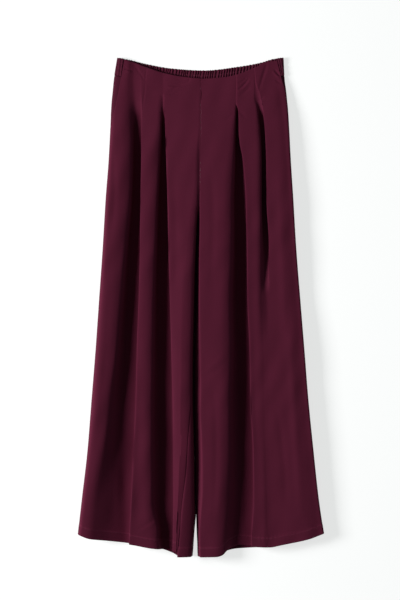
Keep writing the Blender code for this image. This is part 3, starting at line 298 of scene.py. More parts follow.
# ---- top and bottom edges, from -X to +X ----
Point = namedtuple("Point", "x y")
FRONT_WAIST = [
    Point(-0.1540, 0.4939), Point(-0.1360, 0.4885), Point(-0.1146, 0.4803),
    Point(-0.0746, 0.4671), Point(-0.0374, 0.4595), Point(0.0054, 0.4557),
    Point(0.0472, 0.4585), Point(0.0714, 0.4635), Point(0.1114, 0.4793),
    Point(0.1272, 0.4877), Point(0.1520, 0.4915),
]
BACK_WAIST = [
    Point(-0.1680, 0.4975), Point(-0.1432, 0.4935), Point(-0.1146, 0.4863),
    Point(-0.0574, 0.4761), Point(0.0054, 0.4723), Point(0.0758, 0.4799),
    Point(0.1186, 0.4877), Point(0.1472, 0.4957), Point(0.1640, 0.4975),
]
FRONT_HEM_RIGHT = [
    Point(-0.2450, -0.4523), Point(-0.2220, -0.4611), Point(-0.1900, -0.4657),
    Point(-0.1360, -0.4735), Point(-0.1000, -0.4805), Point(-0.0560, -0.4860),
]
BACK_HEM_RIGHT = [
    Point(-0.2450, -0.4500), Point(-0.1900, -0.4630), Point(-0.1000, -0.4775),
    Point(-0.0560, -0.4920), Point(-0.0456, -0.4975), Point(-0.0174, -0.4975),
]
FRONT_HEM_LEFT = [
    Point(-0.0030, -0.4975), Point(0.0308, -0.4970), Point(0.0434, -0.4935),
    Point(0.0516, -0.4855), Point(0.0616, -0.4795), Point(0.0780, -0.4751),
    Point(0.1052, -0.4775), Point(0.1360, -0.4785), Point(0.1600, -0.4741),
    Point(0.2140, -0.4625), Point(0.2448, -0.4515),
]
BACK_HEM_LEFT = [
    Point(-0.0030, -0.4945), Point(0.0308, -0.4925), Point(0.0690, -0.4835),
    Point(0.1360, -0.4789), Point(0.1870, -0.4665), Point(0.2448, -0.4490),
]

# ---- creases: soft troughs (height below 0) and ridges, on a curve through three points ----
# x1 y1 is one end, x2 y2 the bend and x3 y3 the other end. width: from the line to half height.
Crease = namedtuple("Crease", "x1 y1 x2 y2 x3 y3 width height")
FRONT_CREASES = [
    # the lines in which the pleats are sewn shut
    Crease(-0.0752, 0.4600, -0.0750, 0.4420, -0.0748, 0.4230, 0.0009, -0.0003),
    Crease(0.0717, 0.4560, 0.0714, 0.4280, 0.0714, 0.4040, 0.0009, -0.0003),
    Crease(0.1074, 0.4700, 0.1080, 0.4500, 0.1106, 0.4320, 0.0009, -0.0003),
    Crease(-0.1088, 0.4800, -0.1104, 0.4620, -0.1112, 0.4470, 0.0010, -0.0004),
    Crease(-0.1112, 0.4470, -0.1136, 0.4200, -0.1180, 0.3860, 0.0010, -0.0004),
    # the right front: the lit crease from the waist, and pulls towards the inner pleat
    Crease(-0.1340, 0.4830, -0.1240, 0.4690, -0.1120, 0.4500, 0.0020, -0.0004),
    Crease(-0.0220, 0.4563, -0.0360, 0.4430, -0.0650, 0.4418, 0.0016, -0.0009),
    Crease(-0.0250, 0.4530, -0.0400, 0.4395, -0.0650, 0.4385, 0.0020, 0.0006),
    Crease(-0.0470, 0.4410, -0.0560, 0.4330, -0.0660, 0.4280, 0.0014, -0.0006),
    Crease(-0.0430, 0.4290, -0.0560, 0.4250, -0.0700, 0.4255, 0.0018, -0.0005),
    Crease(-0.1530, 0.4760, -0.1460, 0.4735, -0.1380, 0.4745, 0.0016, -0.0010),
    Crease(-0.1500, 0.4715, -0.1440, 0.4700, -0.1390, 0.4712, 0.0016, 0.0008),
    # the left front: the dark crease beside the outer pleat, and pulls across the panel
    Crease(0.1316, 0.4858, 0.1250, 0.4640, 0.1150, 0.4300, 0.0026, -0.0009),
    Crease(0.0730, 0.4465, 0.0830, 0.4500, 0.0910, 0.4575, 0.0014, -0.0006),
    Crease(0.0735, 0.4335, 0.0850, 0.4420, 0.0960, 0.4570, 0.0017, -0.0009),
    Crease(0.0740, 0.4290, 0.0860, 0.4370, 0.0980, 0.4500, 0.0018, 0.0006),
    Crease(0.0770, 0.4215, 0.0890, 0.4300, 0.0980, 0.4390, 0.0016, -0.0005),
    Crease(0.0660, 0.3875, 0.0590, 0.3800, 0.0480, 0.3700, 0.0022, -0.0004),
    Crease(0.0755, 0.3880, 0.0820, 0.3840, 0.0870, 0.3740, 0.0024, -0.0004),
    Crease(0.1460, 0.4740, 0.1530, 0.4660, 0.1590, 0.4610, 0.0018, -0.0011),
    Crease(0.1440, 0.4700, 0.1510, 0.4620, 0.1570, 0.4570, 0.0020, 0.0007),
    Crease(0.1490, 0.4520, 0.1550, 0.4490, 0.1600, 0.4480, 0.0016, -0.0008),
    Crease(0.1140, 0.4150, 0.1200, 0.4155, 0.1250, 0.4190, 0.0014, -0.0009),
    # the legs: long shallow swells, and a few pressed creases
    Crease(-0.1780, 0.3200, -0.1720, 0.2300, -0.1800, 0.1500, 0.0050, -0.0007),
    Crease(-0.1880, 0.0600, -0.2000, -0.1200, -0.2160, -0.3000, 0.0060, 0.0008),
    Crease(-0.0560, 0.2600, -0.0500, 0.1500, -0.0520, 0.0300, 0.0060, -0.0007),
    Crease(-0.0480, -0.0500, -0.0500, -0.2000, -0.0470, -0.3400, 0.0050, 0.0007),
    Crease(-0.0750, -0.4030, -0.0960, -0.4260, -0.1260, -0.4420, 0.0018, -0.0011),
    Crease(-0.0780, -0.4080, -0.0980, -0.4310, -0.1240, -0.4460, 0.0022, 0.0008),
    Crease(0.0200, 0.2700, 0.0240, 0.1600, 0.0180, 0.0300, 0.0060, -0.0007),
    Crease(0.0020, -0.1420, 0.0250, -0.1300, 0.0500, -0.1080, 0.0020, -0.0006),
    Crease(0.0040, -0.1280, 0.0260, -0.1150, 0.0480, -0.0940, 0.0024, 0.0005),
    Crease(0.0260, -0.1700, 0.0300, -0.3000, 0.0240, -0.4300, 0.0045, -0.0007),
    Crease(0.1780, -0.0500, 0.1860, -0.2200, 0.2000, -0.4200, 0.0070, 0.0010),
    Crease(0.1560, 0.2600, 0.1620, 0.1000, 0.1680, -0.0600, 0.0070, 0.0008),
    Crease(0.1500, -0.2000, 0.1640, -0.3000, 0.1680, -0.4000, 0.0060, -0.0006),
    Crease(0.0790, -0.2300, 0.0800, -0.3300, 0.0800, -0.4400, 0.0040, 0.0014),
    Crease(-0.1660, -0.1500, -0.1640, -0.3000, -0.1660, -0.4300, 0.0070, 0.0008),
]
# The back lies on the floor, so its creases are all lifted up from it.
BACK_CREASES = [
    Crease(-0.1480, 0.4480, -0.1500, 0.3900, -0.1540, 0.3100, 0.0040, 0.0022),
    Crease(-0.1210, 0.4430, -0.1220, 0.4100, -0.1240, 0.3700, 0.0032, 0.0018),
    Crease(-0.0960, 0.4400, -0.0980, 0.3600, -0.1040, 0.2400, 0.0044, 0.0020),
    Crease(-0.0700, 0.4370, -0.0700, 0.4050, -0.0720, 0.3650, 0.0030, 0.0020),
    Crease(-0.0490, 0.4350, -0.0500, 0.3800, -0.0540, 0.3000, 0.0038, 0.0018),
    Crease(-0.0240, 0.4340, -0.0230, 0.4000, -0.0240, 0.3700, 0.0028, 0.0016),
    Crease(0.0210, 0.4340, 0.0220, 0.3850, 0.0220, 0.3300, 0.0036, 0.0018),
    Crease(0.0460, 0.4360, 0.0470, 0.4080, 0.0480, 0.3760, 0.0028, 0.0020),
    Crease(0.0730, 0.4400, 0.0760, 0.3600, 0.0840, 0.2500, 0.0044, 0.0020),
    Crease(0.1010, 0.4430, 0.1020, 0.4100, 0.1050, 0.3600, 0.0032, 0.0018),
    Crease(0.1270, 0.4470, 0.1300, 0.3900, 0.1360, 0.2900, 0.0042, 0.0022),
    Crease(0.1450, 0.4500, 0.1470, 0.4200, 0.1490, 0.3800, 0.0026, 0.0016),
    Crease(-0.1600, 0.1800, -0.1680, 0.0000, -0.1820, -0.2200, 0.0060, 0.0012),
    Crease(-0.0800, 0.1200, -0.0840, -0.1000, -0.0900, -0.3600, 0.0060, 0.0013),
    Crease(-0.0400, -0.1000, -0.0400, -0.2500, -0.0420, -0.4000, 0.0040, 0.0010),
    Crease(0.0480, 0.1400, 0.0560, -0.0600, 0.0600, -0.2400, 0.0060, 0.0012),
    Crease(0.1180, 0.1000, 0.1280, -0.1200, 0.1440, -0.3800, 0.0060, 0.0013),
    Crease(0.1760, -0.1600, 0.1860, -0.2800, 0.1980, -0.4000, 0.0050, 0.0011),
    Crease(-0.1300, -0.3600, -0.1520, -0.3900, -0.1850, -0.4020, 0.0026, 0.0010),
    Crease(0.0600, -0.3900, 0.0860, -0.4100, 0.1200, -0.4140, 0.0026, 0.0010),
]
BAND_CREASES = [
    Crease(-0.1700, 0.4862, -0.1640, 0.4850, -0.1560, 0.4858, 0.0014, -0.0010),
    Crease(-0.1710, 0.4762, -0.1650, 0.4745, -0.1570, 0.4752, 0.0016, -0.0013),
    Crease(-0.1720, 0.4660, -0.1670, 0.4640, -0.1600, 0.4650, 0.0014, -0.0011),
    Crease(0.1670, 0.4840, 0.1610, 0.4825, 0.1540, 0.4830, 0.0014, -0.0010),
    Crease(0.1680, 0.4730, 0.1630, 0.4720, 0.1560, 0.4728, 0.0015, -0.0011),
]

# ---- how finely the cloth is cut into faces ----
LEVELS = 420                # sections worked out along a leg
LEVEL_LOW = -0.500          # the lowest of them
LEVEL_HIGH = 0.498          # and the highest
PLEAT_LEVELS = 90           # more sections, where the pleats open
PLEAT_LOW = 0.360           # from here
PLEAT_HIGH = 0.440          # up to here
CROTCH_STEP = 0.002         # from the section on the crotch to one just below it
DENSE = 120                 # points on each stretch of a section before it is thinned
TURN_WEIGHT = 0.0040        # length that a turn of one radian counts for in thinning
RIGHT_COLUMNS = (18, 28, 22, 26, 20, 16, 18)    # faces across each stretch of the front
LEFT_COLUMNS = (18, 26, 20, 26, 20, 18, 22)     # the same of the left leg
BACK_COLUMNS = (20, 70, 18)     # and of a back, from its inner edge to its side
WAVE_STEPS = 10             # faces along one gather
BAND_ROWS = 22              # rows down the casing
FACING_ROWS = 44            # rows down a pocket facing
FACING_COLUMNS = 22         # faces across it
WAIST_REACH = 0.36          # rows above this follow the waist
HEM_REACH = -0.41           # rows below this follow the hem
EDGE_PASSES = 4             # rounds in which a column's end is brought onto the edge
TOP_LEVEL = 0.480           # level of a front panel's top row before it follows the waist
BACK_TOP_LEVEL = 0.450      # the same of a back panel, under the casing
HEM_LEVEL = -0.475          # level of every panel's last row before it follows the hem
WAIST_ROWS = 0.365          # rows above this lie close together
HEM_ROWS = -0.400           # rows below this lie closer than on the leg
STITCH_ROWS = 0.004         # so far above and below the hem's stitches they lie closest
WAIST_STEP = 0.0015         # from row to row at the waist
LEG_STEP = 0.0045           # on the leg
HEM_STEP = 0.0035           # above the hem
STITCH_STEP = 0.0008        # along the hem's stitches
EDGE_STEP = 0.0020          # below them
VALLEY_LOW = 6              # in a fold's cage, the point at its lowest place
VALLEY_TOP = 14             # and the point where the next panel is level
MIN_RUN = 0.0006            # least width of a fold's bend, and of its drop
DOME = 0.235                # drop of a panel's bend, as a share of its width
DOME_SHARE = 0.42           # most that it takes of the whole drop
DOME_MORE = 0.40            # and how much more where the drop is shallow
SHALLOW = 0.0040            # a drop under which more and more of it lies in the bend
SHALLOW_EDGE = 0.0010       # a step up under which its points lie side by side
CROWN_STEP = 0.0040         # a step up over which a panel's crown has its full height
PANEL_REACH = 0.45          # share of the next panel in which it rises to its full height
ARCH_REACH = 0.80           # the same of the right leg's inner panel, which is arched
EDGE_ROUND = 0.0016         # how far down from its edge a panel's fold begins to round
EDGE_DROP = 0.0002          # how far the very edge stands under the panel
# A leg's last panel on its way to its end: share of the way, share of the end's sink.
SINK_SHAPE = ((0.40, 0.04), (0.68, 0.50), (0.88, 0.92), (1.0, 1.0))

# ---- the cloth's edges ----
RIM_BULGE = 0.10            # how far a cut edge rounds out, as a share of the wall
RIM_INSET = 0.22            # how far its faces' borders lie inside the wall
RIM_PULL = 0.12             # and how far they are drawn back from the edge

# ---- the hem ----
HEM_FADE = 0.0008           # half of the length in which the turned-up layer ends
GROOVE_DEPTH = 0.00040      # how deep the stitches pull the cloth in
GROOVE_WIDTH = 0.0009       # half of the width of that groove
RIDGE_HEIGHT = 0.00030      # how far the layer's own edge shows above them
RIDGE_WIDTH = 0.0013        # half of its width
RIDGE_ABOVE = 0.0022        # and its distance from the stitches
PUCKER_HEIGHT = 0.00014     # the small puckers along the stitches
PUCKER_PITCH = 0.0075       # from one to the next
PUCKER_DRIFT = 0.021        # length over which that pitch wanders
PUCKER_REACH = 0.0050       # how far from the stitches they go
STITCH_HIGHLIGHT_WIDTH = 0.0012        # width of the painted highlight line above the stitches, which is also less rough
HEM_HIGHLIGHT_WIDTH = 0.0020    # and of the one along the hem's edge
HEM_HIGHLIGHT = 0.6             # how pale that painted highlight is

# ---- long swells all over the cloth ----
SWELLS = 9                  # slanting waves that are added up
SWELL_ACROSS = (0.035, 0.110)   # shortest and longest wave across the leg
SWELL_DOWN = (0.140, 0.420)     # and the length down the leg in which one sways
SWELL_SWAY = 1.3            # how far it sways, in radians of the wave
SWELL_LEAN = 0.5            # most that a wave slants

# ---- the casing ----
BAND_LEVEL = 0.490          # level whose section gives the casing's top its shape
BAND_DROP = 0.030           # from there to the level for its bottom
BAND_WALL = 0.0012          # casing with its elastic, between gathers
BAND_STITCHES = (0.29, 0.88)    # where its rows of stitches run, as shares of its height
GATHER_WIDTHS = (0.55, 1.50)    # narrowest and widest gather, against one another
GATHER_HEIGHTS = (0.55, 1.15)   # lowest and highest, as shares of the gather height
GATHER_SLANT = 0.9          # most that a gather leans, in radians of its wave
GATHER_TWIST = 1.6          # how much the lean grows from the casing's top to its bottom
GATHER_STRAIGHT = 0.3       # share of the casing's height at which none leans
GATHER_SHARP = 1.2          # power that narrows the gathers' tops
PUFF_LOSS = 0.55            # share of a gather's height that a row of stitches takes
PUFF_WIDTH = 0.055          # how far from it, as a share of the casing's height
TOP_PUFF = 0.55             # a gather's height at the casing's top edge, as a share
TOP_PUFF_REACH = 0.10       # share of the casing's height in which it is whole again
SCALLOP = 0.0007            # rise and fall of the top edge along the gathers
OUTER_GATHER = 0.30         # depth of the gathers on the wraps, as a share of their height
UNDER_GATHER = 0.0009       # their depth on the underside, which lies on the floor
WRAP_START = (0.008, 0.016)     # distances from a side between which the gathers set in
WRAP_LIFT = (0.0005, 0.0020)    # heights between which the casing leaves the floor
WRAP_TOP = (0.0035, 0.0060)     # heights between which it becomes the wrap on top
BAND_HIGHLIGHT = 0.8            # how pale the painted highlight on the casing's top edge is
BAND_HIGHLIGHT_WIDTH = 0.0018   # and how wide that painted highlight is

# ---- stitches ----
STITCH_SHARE = 0.74         # length of a stitch, as a share of the pitch
STITCH_START = 0.13         # where it comes up, as a share of the pitch
THREAD_SIDES = 6            # flat sides round a thread
STITCH_AT = np.array([0.0, 0.16, 0.5, 0.84, 1.0])       # rings along a stitch
STITCH_SIZE = np.array([0.45, 0.95, 1.0, 0.95, 0.45])   # their radii, of the thread's
STITCH_LIFT = np.array([-0.7, 0.35, 0.75, 0.35, -0.7])  # and how far they stand up

# ---- the studio ----
FLOOR_SIZE = 14.0           # radius of the floor
FLOOR_DROP = 0.0004         # how far it lies under the cloth
KEY_PLACE = (-3.0, 0.20, 1.64)      # the low light on the left
KEY_SIZE = 1.1              # side of its square
FILL_PLACE = (3.0, 0.20, 1.90)      # the weak light on the right
FILL_SIZE = 1.6             # side of its square
AIR_COLOUR = (0.90, 1.30, 1.15, 1.0)    # the even light from all sides
CAMERA_X = -0.002           # the camera looks straight down from here
CAMERA_Y = 0.0135


class PalazzoCloth(PropertyGroup):
    """Sizes and colours of the cloth and its sewing."""
    wall: FloatProperty(
        name="Cloth Thickness", description="Thickness of one layer of crepe",
        default=0.0009, unit="LENGTH")
    hem_depth: FloatProperty(
        name="Hem Depth", description="From the hem's edge up to its stitch line",
        default=0.018, unit="LENGTH")
    hem_layer: FloatProperty(
        name="Hem Layer", description="How much the turned-up hem stands out",
        default=0.0003, unit="LENGTH")
    crease_scale: FloatProperty(
        name="Crease Depth", description="Factor on the height of every crease",
        default=1.0, min=0.0, max=2.0)
    drape: FloatProperty(
        name="Drape", description="Height of the long, faint swells all over the cloth",
        default=0.00035, unit="LENGTH")
    gathers: IntProperty(
        name="Gathers", description="Gathers along the elastic casing", default=72)
    gather_height: FloatProperty(
        name="Gather Height", description="How far a gather of the casing stands up",
        default=0.0022, unit="LENGTH")
    stitch_pitch: FloatProperty(
        name="Stitch Pitch", description="From one stitch to the next",
        default=0.0032, unit="LENGTH")
    thread: FloatProperty(
        name="Thread Thickness", description="Diameter of the sewing thread",
        default=0.00034, unit="LENGTH")
    weave_pitch: FloatProperty(
        name="Weave Pitch", description="From one twill rib of the crepe to the next",
        default=0.0011, unit="LENGTH")
    wine: FloatVectorProperty(
        name="Crepe Colour", description="Colour of the crepe", subtype="COLOR",
        default=(0.080, 0.0092, 0.0250))
    # Casing and facings: the panels' crepe painted darker, as painted shade where they lie inside under
    # the front
    painted_shade: FloatVectorProperty(
        name="Painted Shade Colour", description="Colour of the casing and the pocket facings",
        subtype="COLOR", default=(0.062, 0.0076, 0.0200))
    thread_colour: FloatVectorProperty(
        name="Thread Colour", description="Colour of the sewing thread", subtype="COLOR",
        default=(0.110, 0.0150, 0.0380))
    seed: IntProperty(
        name="Seed", description="Seed for the unevenness of gathers and drape", default=11)


class PalazzoStudio(PropertyGroup):
    """Sizes and colours of the floor, lights and camera."""
    key_power: FloatProperty(
        name="Key Power", description="Power of the low light on the left",
        default=188.0, unit="POWER")
    fill_power: FloatProperty(
        name="Fill Power", description="Power of the weak light on the right",
        default=12.0, unit="POWER")
    ambient: FloatProperty(
        name="Ambient", description="Strength of the even light from all sides",
        default=0.11, min=0.0)
    floor: FloatVectorProperty(
        name="Floor Colour", description="Colour of the pale floor", subtype="COLOR",
        default=(0.36, 0.36, 0.36))
    glow: FloatProperty(
        name="Floor Glow", description="Light that the floor, a light table, gives off",
        default=0.70, min=0.0)
    camera_height: FloatProperty(
        name="Camera Height", description="Height of the camera above the floor",
        default=4.0, unit="LENGTH")
    view_height: FloatProperty(
        name="View Height", description="Length of floor that the camera's view is high",
        default=1.2, unit="LENGTH")


# ======================================================================
# curves and sections
# ======================================================================

def smooth_curve(at, value, where):
    """A monotone cubic through the points (at, value), level beyond its ends."""
    step = np.diff(at)
    slope = np.diff(value) / step
    tangent = np.zeros(len(at))
    same_way = slope[1:] * slope[:-1] > 0
    weight_a = 2 * step[1:] + step[:-1]
    weight_b = step[1:] + 2 * step[:-1]
    with np.errstate(divide="ignore", invalid="ignore"):
        mean = (weight_a + weight_b) / (weight_a / slope[:-1] + weight_b / slope[1:])
    tangent[1:-1] = np.where(same_way, mean, 0.0)
    tangent[0], tangent[-1] = slope[0], slope[-1]
    where = np.clip(where, at[0], at[-1])
    k = np.clip(np.searchsorted(at, where) - 1, 0, len(step) - 1)
    s = (where - at[k]) / step[k]
    rise = value[k] * (1 + 2 * s) * (1 - s) ** 2 + value[k + 1] * s ** 2 * (3 - 2 * s)
    turn = tangent[k] * s * (1 - s) ** 2 - tangent[k + 1] * s ** 2 * (1 - s)
    return rise + turn * step[k]


def rows_at(rows, levels):
    """A table's rows at any levels, on smooth curves that never overshoot."""
    table = sorted(rows, key=lambda row: row.y)
    at = np.array([row.y for row in table])
    kind = type(table[0])
    columns = [smooth_curve(at, np.array([getattr(row, name) for row in table]), levels)
               for name in kind._fields]
    return [kind(*values) for values in zip(*columns)]


def edge_curve(points, x):
    """The y of an edge at the places x."""
    return smooth_curve(np.array([p.x for p in points]), np.array([p.y for p in points]), x)


def round_edge(crest, top, rim, mid, wrap, fullness):
    """Points of a round edge: wrap 0 on the crest, 1 at the rim, 2 on the floor."""
    upper = np.clip(wrap, 0, 1) * np.pi / 2
    full = (1 - np.sin(upper) ** fullness) ** (1 / fullness)
    z = mid + (top - mid) * full
    return under_rim(crest + (rim - crest) * np.sin(upper), z, crest, rim, mid, wrap)


def under_rim(x, z, crest, rim, mid, wrap):
    """Points x, z of an edge's upper part, with the part past the rim curled under it."""
    out = np.sign(rim - crest)
    radius = min(CURL_RADIUS, 1.2 * mid)
    lower = np.clip(wrap - 1, 0, 1) * np.pi / 2
    x = x - out * radius * (1 - np.cos(lower))
    return np.column_stack([x, np.where(wrap < 1, z, mid * (1 - np.sin(lower)))])


def seam_wrap(edge, wrap):
    """A seam's gap as a step of wrap, at one place on an edge's curve."""
    small = 0.01
    near = edge(np.array([wrap, wrap + small]))
    return SEAM * small / np.linalg.norm(near[1] - near[0])


def fold_spline(cage, count):
    """A uniform cubic B-spline through the first and last points of a cage.

    Also gives the parameter of each curve point, on which cage point i stands at i + 1.
    """
    cage = np.vstack([cage[:1], cage[:1], cage, cage[-1:], cage[-1:]])
    u = np.linspace(0, len(cage) - 3, count)
    k = np.minimum(u.astype(int), len(cage) - 4)
    s = (u - k)[:, None]
    a, b, c, d = cage[k], cage[k + 1], cage[k + 2], cage[k + 3]
    first = (1 - s) ** 3 * a + (3 * s ** 3 - 6 * s ** 2 + 4) * b
    second = (3 * s ** 2 + 3 * s + 1 - 3 * s ** 3) * c + s ** 3 * d
    return (first + second) / 6, u


def bend_cage(fall, brink, foot, high, low):
    """Cage points of a panel's end: it bends down gently to its brink, then drops to a foot."""
    bend, down = brink - fall, foot - brink
    fallen = high - low
    share = DOME_SHARE + DOME_MORE * max(0.0, 1 - fallen / SHALLOW)
    dome = min(DOME * bend, share * fallen)
    drop = fallen - dome
    return [
        (fall, high),
        (fall + 0.38 * bend, high - 0.12 * dome),
        (fall + 0.74 * bend, high - 0.52 * dome),
        (brink, high - dome),
        (brink + 0.55 * down, low + 0.45 * drop),
        (foot, low + 0.08 * drop),
    ]


def fold_cage(fold, high, next_high, next_fall, reach):
    """Cage points of one fold: the bend, the drop, the valley, the edge, the next panel."""
    low = min(fold.low, high, next_high)
    top = next_high - fold.crown * min(1.0, (next_high - low) / CROWN_STEP)
    rise = top - low
    slope_top = low + fold.ramp * rise
    steep = top - slope_top
    edge, lean, tuck = fold.edge, fold.lean, fold.tuck
    foot = min(fold.foot, edge - 2.0 * lean)
    brink = min(fold.brink, foot - MIN_RUN)
    fall = min(fold.fall, brink - MIN_RUN)
    plateau = edge + reach * (next_fall - edge)
    spread = lean * max(0.0, 1 - steep / SHALLOW_EDGE)
    return bend_cage(fall, brink, foot, high, low) + [
        (foot + 0.50 * (edge - foot) - 0.4 * lean, low + 0.30 * fold.ramp * rise),
        (edge - 1.2 * lean + 0.4 * tuck, low + 0.85 * fold.ramp * rise),
        (edge + tuck - 0.9 * spread, slope_top + 0.04 * steep),
        (edge + 0.45 * tuck - 0.6 * spread, slope_top + 0.55 * steep),
        (edge + 0.10 * tuck - 0.3 * spread, top - min(EDGE_ROUND, 0.30 * steep)),
        (edge, top - min(EDGE_DROP, 0.05 * steep)),
        (edge + lean, top),
        (edge + 2.0 * lean + 0.15 * (plateau - edge), top + 0.2 * (next_high - top)),
        (plateau + 2.0 * lean, next_high),
    ]


def fold_stretches(start, end, folds, heights, sinks, reaches):
    """The top of a leg's front at one level, cut at its valleys and panels."""
    low_panel, middle_panel, high_panel = heights
    first, second = folds
    start_sink, end_sink = sinks
    cage = [(start, low_panel - start_sink)]
    cage += fold_cage(first, low_panel, middle_panel, second.fall, reaches[0])
    cage += fold_cage(second, middle_panel, high_panel, end, reaches[1])
    last = cage[-1][0]
    cage += [(last + share * (end - last), high_panel - sunk * end_sink)
             for share, sunk in SINK_SHAPE]
    size = VALLEY_TOP + 1
    marks = [0.0, VALLEY_LOW + 2.0, VALLEY_TOP + 2.0, size + VALLEY_LOW + 2.0,
             size + VALLEY_TOP + 2.0, len(cage) + 1.0]
    curve, u = fold_spline(np.array(cage), DENSE * 8)
    cut = []
    for mark, next_mark in zip(marks, marks[1:]):
        at = np.linspace(mark, next_mark, DENSE)
        cut.append(np.column_stack([np.interp(at, u, curve[:, 0]), np.interp(at, u, curve[:, 1])]))
    return cut


def inner_curve(cage, middle, rim, low, wrap):
    """Points of a leg's inner edge: its cage's curve to the rim, then the curl under it."""
    below = np.clip((CROTCH_Y - middle.y) / TAIL_START, 0, 1)
    mid = low * (1 - TAIL_LOWER * below)
    fall = cage[0][0]
    out = np.sign(rim - fall)
    curve, _ = fold_spline(np.array(cage), 4 * DENSE)
    x = fall + (rim - fall) * np.sin(np.clip(wrap, 0, 1) * np.pi / 2)
    z = np.interp(out * x, out * curve[:, 0], curve[:, 1])
    turn = below * np.clip(1 - np.abs(rim - x) / TAIL_ROUND, 0, 1)
    z = np.where(turn > 0, mid + (z - mid) * np.sqrt(1 - turn ** 2), z)
    return under_rim(x, z, fall, rim, mid, wrap)


def right_inner(middle, top, wrap):
    """Points of the right leg's inner edge: a bend, a steep drop and a low tail to its rim."""
    rim, low = middle.right, min(middle.low, top)
    foot = middle.brink + 0.45 * (rim - middle.brink)
    cage = bend_cage(middle.fall_right, middle.brink, foot, top, low)
    cage += [(foot + share * (rim - foot), low) for share in (0.4, 0.7, 1.0)]
    return inner_curve(cage, middle, rim, low, wrap)


def left_inner(middle, top, wrap):
    """Points of the left leg's inner edge: a sharp edge over a shelf that falls to its rim."""
    fall, edge, rim = middle.fall_left, middle.edge, middle.left
    below = np.clip((CROTCH_Y - middle.y) / TAIL_START, 0, 1)
    shelf = min(middle.shelf, top)
    low = shelf * (1 - (1 - LEFT_RIM) * below)
    drop = top - shelf
    cage = [
        (fall, top),
        (edge + 0.60 * (fall - edge), top),
        (edge + 0.0003, top - 0.02 * drop),
        (edge + 0.0001, top - 0.12 * drop),
        (edge, top - 0.50 * drop),
        (edge - 0.0001, shelf + 0.10 * drop),
        (edge - 0.0003, shelf),
        (edge + 0.40 * (rim - edge), shelf + 0.30 * (low - shelf)),
        (edge + 0.75 * (rim - edge), shelf + 0.75 * (low - shelf)),
        (rim, low),
    ]
    return inner_curve(cage, middle, rim, low, wrap)


def inner_edge(middle, hand, top):
    """A leg's inner edge as a function of wrap, and the wrap at which its seam runs."""
    if hand < 0:
        return lambda wrap: right_inner(middle, top, wrap), middle.seam_right
    return lambda wrap: left_inner(middle, top, wrap), middle.seam_left


def side_edge(side, panels, wraps):
    """Points of a leg's round side at one level."""
    top = panels.outer - side.sink
    fullness = EDGE_FULLNESS[np.sign(side.rim)]
    return round_edge(side.crest, top, side.rim, MID_HEIGHT * top, wraps, fullness)


def right_front(side, middle, panels, outer, inner):
    """The front of the right leg at one level, as stretches from the side inwards."""
    round_side = side_edge(side, panels, np.linspace(side.wrap, 0, DENSE))
    heights = (panels.outer, panels.middle, panels.inner)
    top = fold_stretches(side.crest, middle.fall_right, (outer, inner), heights,
                         (side.sink, 0.0), (PANEL_REACH, ARCH_REACH))
    edge, seam = inner_edge(middle, -1, panels.inner)
    return [round_side] + top + [edge(np.linspace(0, seam, DENSE))]


def left_front(side, middle, panels, outer, inner):
    """The front of the left leg at one level, as stretches from the middle outwards."""
    round_side = side_edge(side, panels, np.linspace(0, side.wrap, DENSE))
    heights = (panels.inner, panels.middle, panels.outer)
    top = fold_stretches(middle.fall_left, side.crest, (inner, outer), heights,
                         (0.0, side.sink), (PANEL_REACH, PANEL_REACH))
    edge, seam = inner_edge(middle, 1, panels.inner)
    return [edge(np.linspace(seam, 0, DENSE))] + top + [round_side]


def back_section(hand, y, side, middle, panels):
    """The back of a leg at one level, as stretches from its inner edge to its side."""
    rim = middle.right if hand < 0 else middle.left
    start = rim + hand * BACK_CURL
    if y >= CROTCH_Y:
        lift = BACK_LIFT * max(0.0, 1 - (y - CROTCH_Y) / LIFT_LENGTH)
        s = np.linspace(1, 0, DENSE)
        inner = np.column_stack([start + (rim - start) * s, lift * s ** 2])
    else:
        edge, seam = inner_edge(middle, hand, panels.inner)
        curl = edge(np.linspace(seam + seam_wrap(edge, seam), 2, DENSE))
        inner = np.vstack([curl, [(start, 0.0)]])
    end = max(1.0, side.wrap)
    end += seam_wrap(lambda wrap: side_edge(side, panels, wrap), end)
    outer = side_edge(side, panels, np.linspace(2, end, DENSE))
    return [inner, np.linspace(inner[-1], outer[0], DENSE), outer]


def thin(parts, columns):
    """A section's stretches thinned to their columns of points."""
    path = np.vstack([part if i == 0 else part[1:] for i, part in enumerate(parts)])
    step = np.linalg.norm(np.diff(path, axis=0), axis=1)
    ahead = np.gradient(path, axis=0)
    heading = np.unwrap(np.arctan2(ahead[:, 1], ahead[:, 0]))
    along = np.concatenate([[0.0], np.cumsum(step + TURN_WEIGHT * np.abs(np.diff(heading)))])
    at = [0.0]
    end = 0
    for part, count in zip(parts, columns):
        start, end = end, end + len(part) - 1
        at += list(np.linspace(along[start], along[end], count + 1)[1:])
    return np.column_stack([np.interp(at, along, path[:, 0]), np.interp(at, along, path[:, 1])])


def levels_between(low, high, step):
    """Levels from high down to low, about a step apart."""
    return np.linspace(high, low, max(2, int(round((high - low) / step)) + 1))


def panel_rows(top_level, hem_depth):
    """Levels of a panel's rows: close at the waist and at the hem's stitch line, wide between."""
    stitch = HEM_LEVEL + hem_depth
    runs = [
        levels_between(WAIST_ROWS, top_level, WAIST_STEP),
        levels_between(HEM_ROWS, WAIST_ROWS, LEG_STEP),
        levels_between(stitch + STITCH_ROWS, HEM_ROWS, HEM_STEP),
        levels_between(stitch - STITCH_ROWS, stitch + STITCH_ROWS, STITCH_STEP),
        levels_between(HEM_LEVEL, stitch - STITCH_ROWS, EDGE_STEP),
    ]
    return np.concatenate([runs[0]] + [run[1:] for run in runs[1:]])


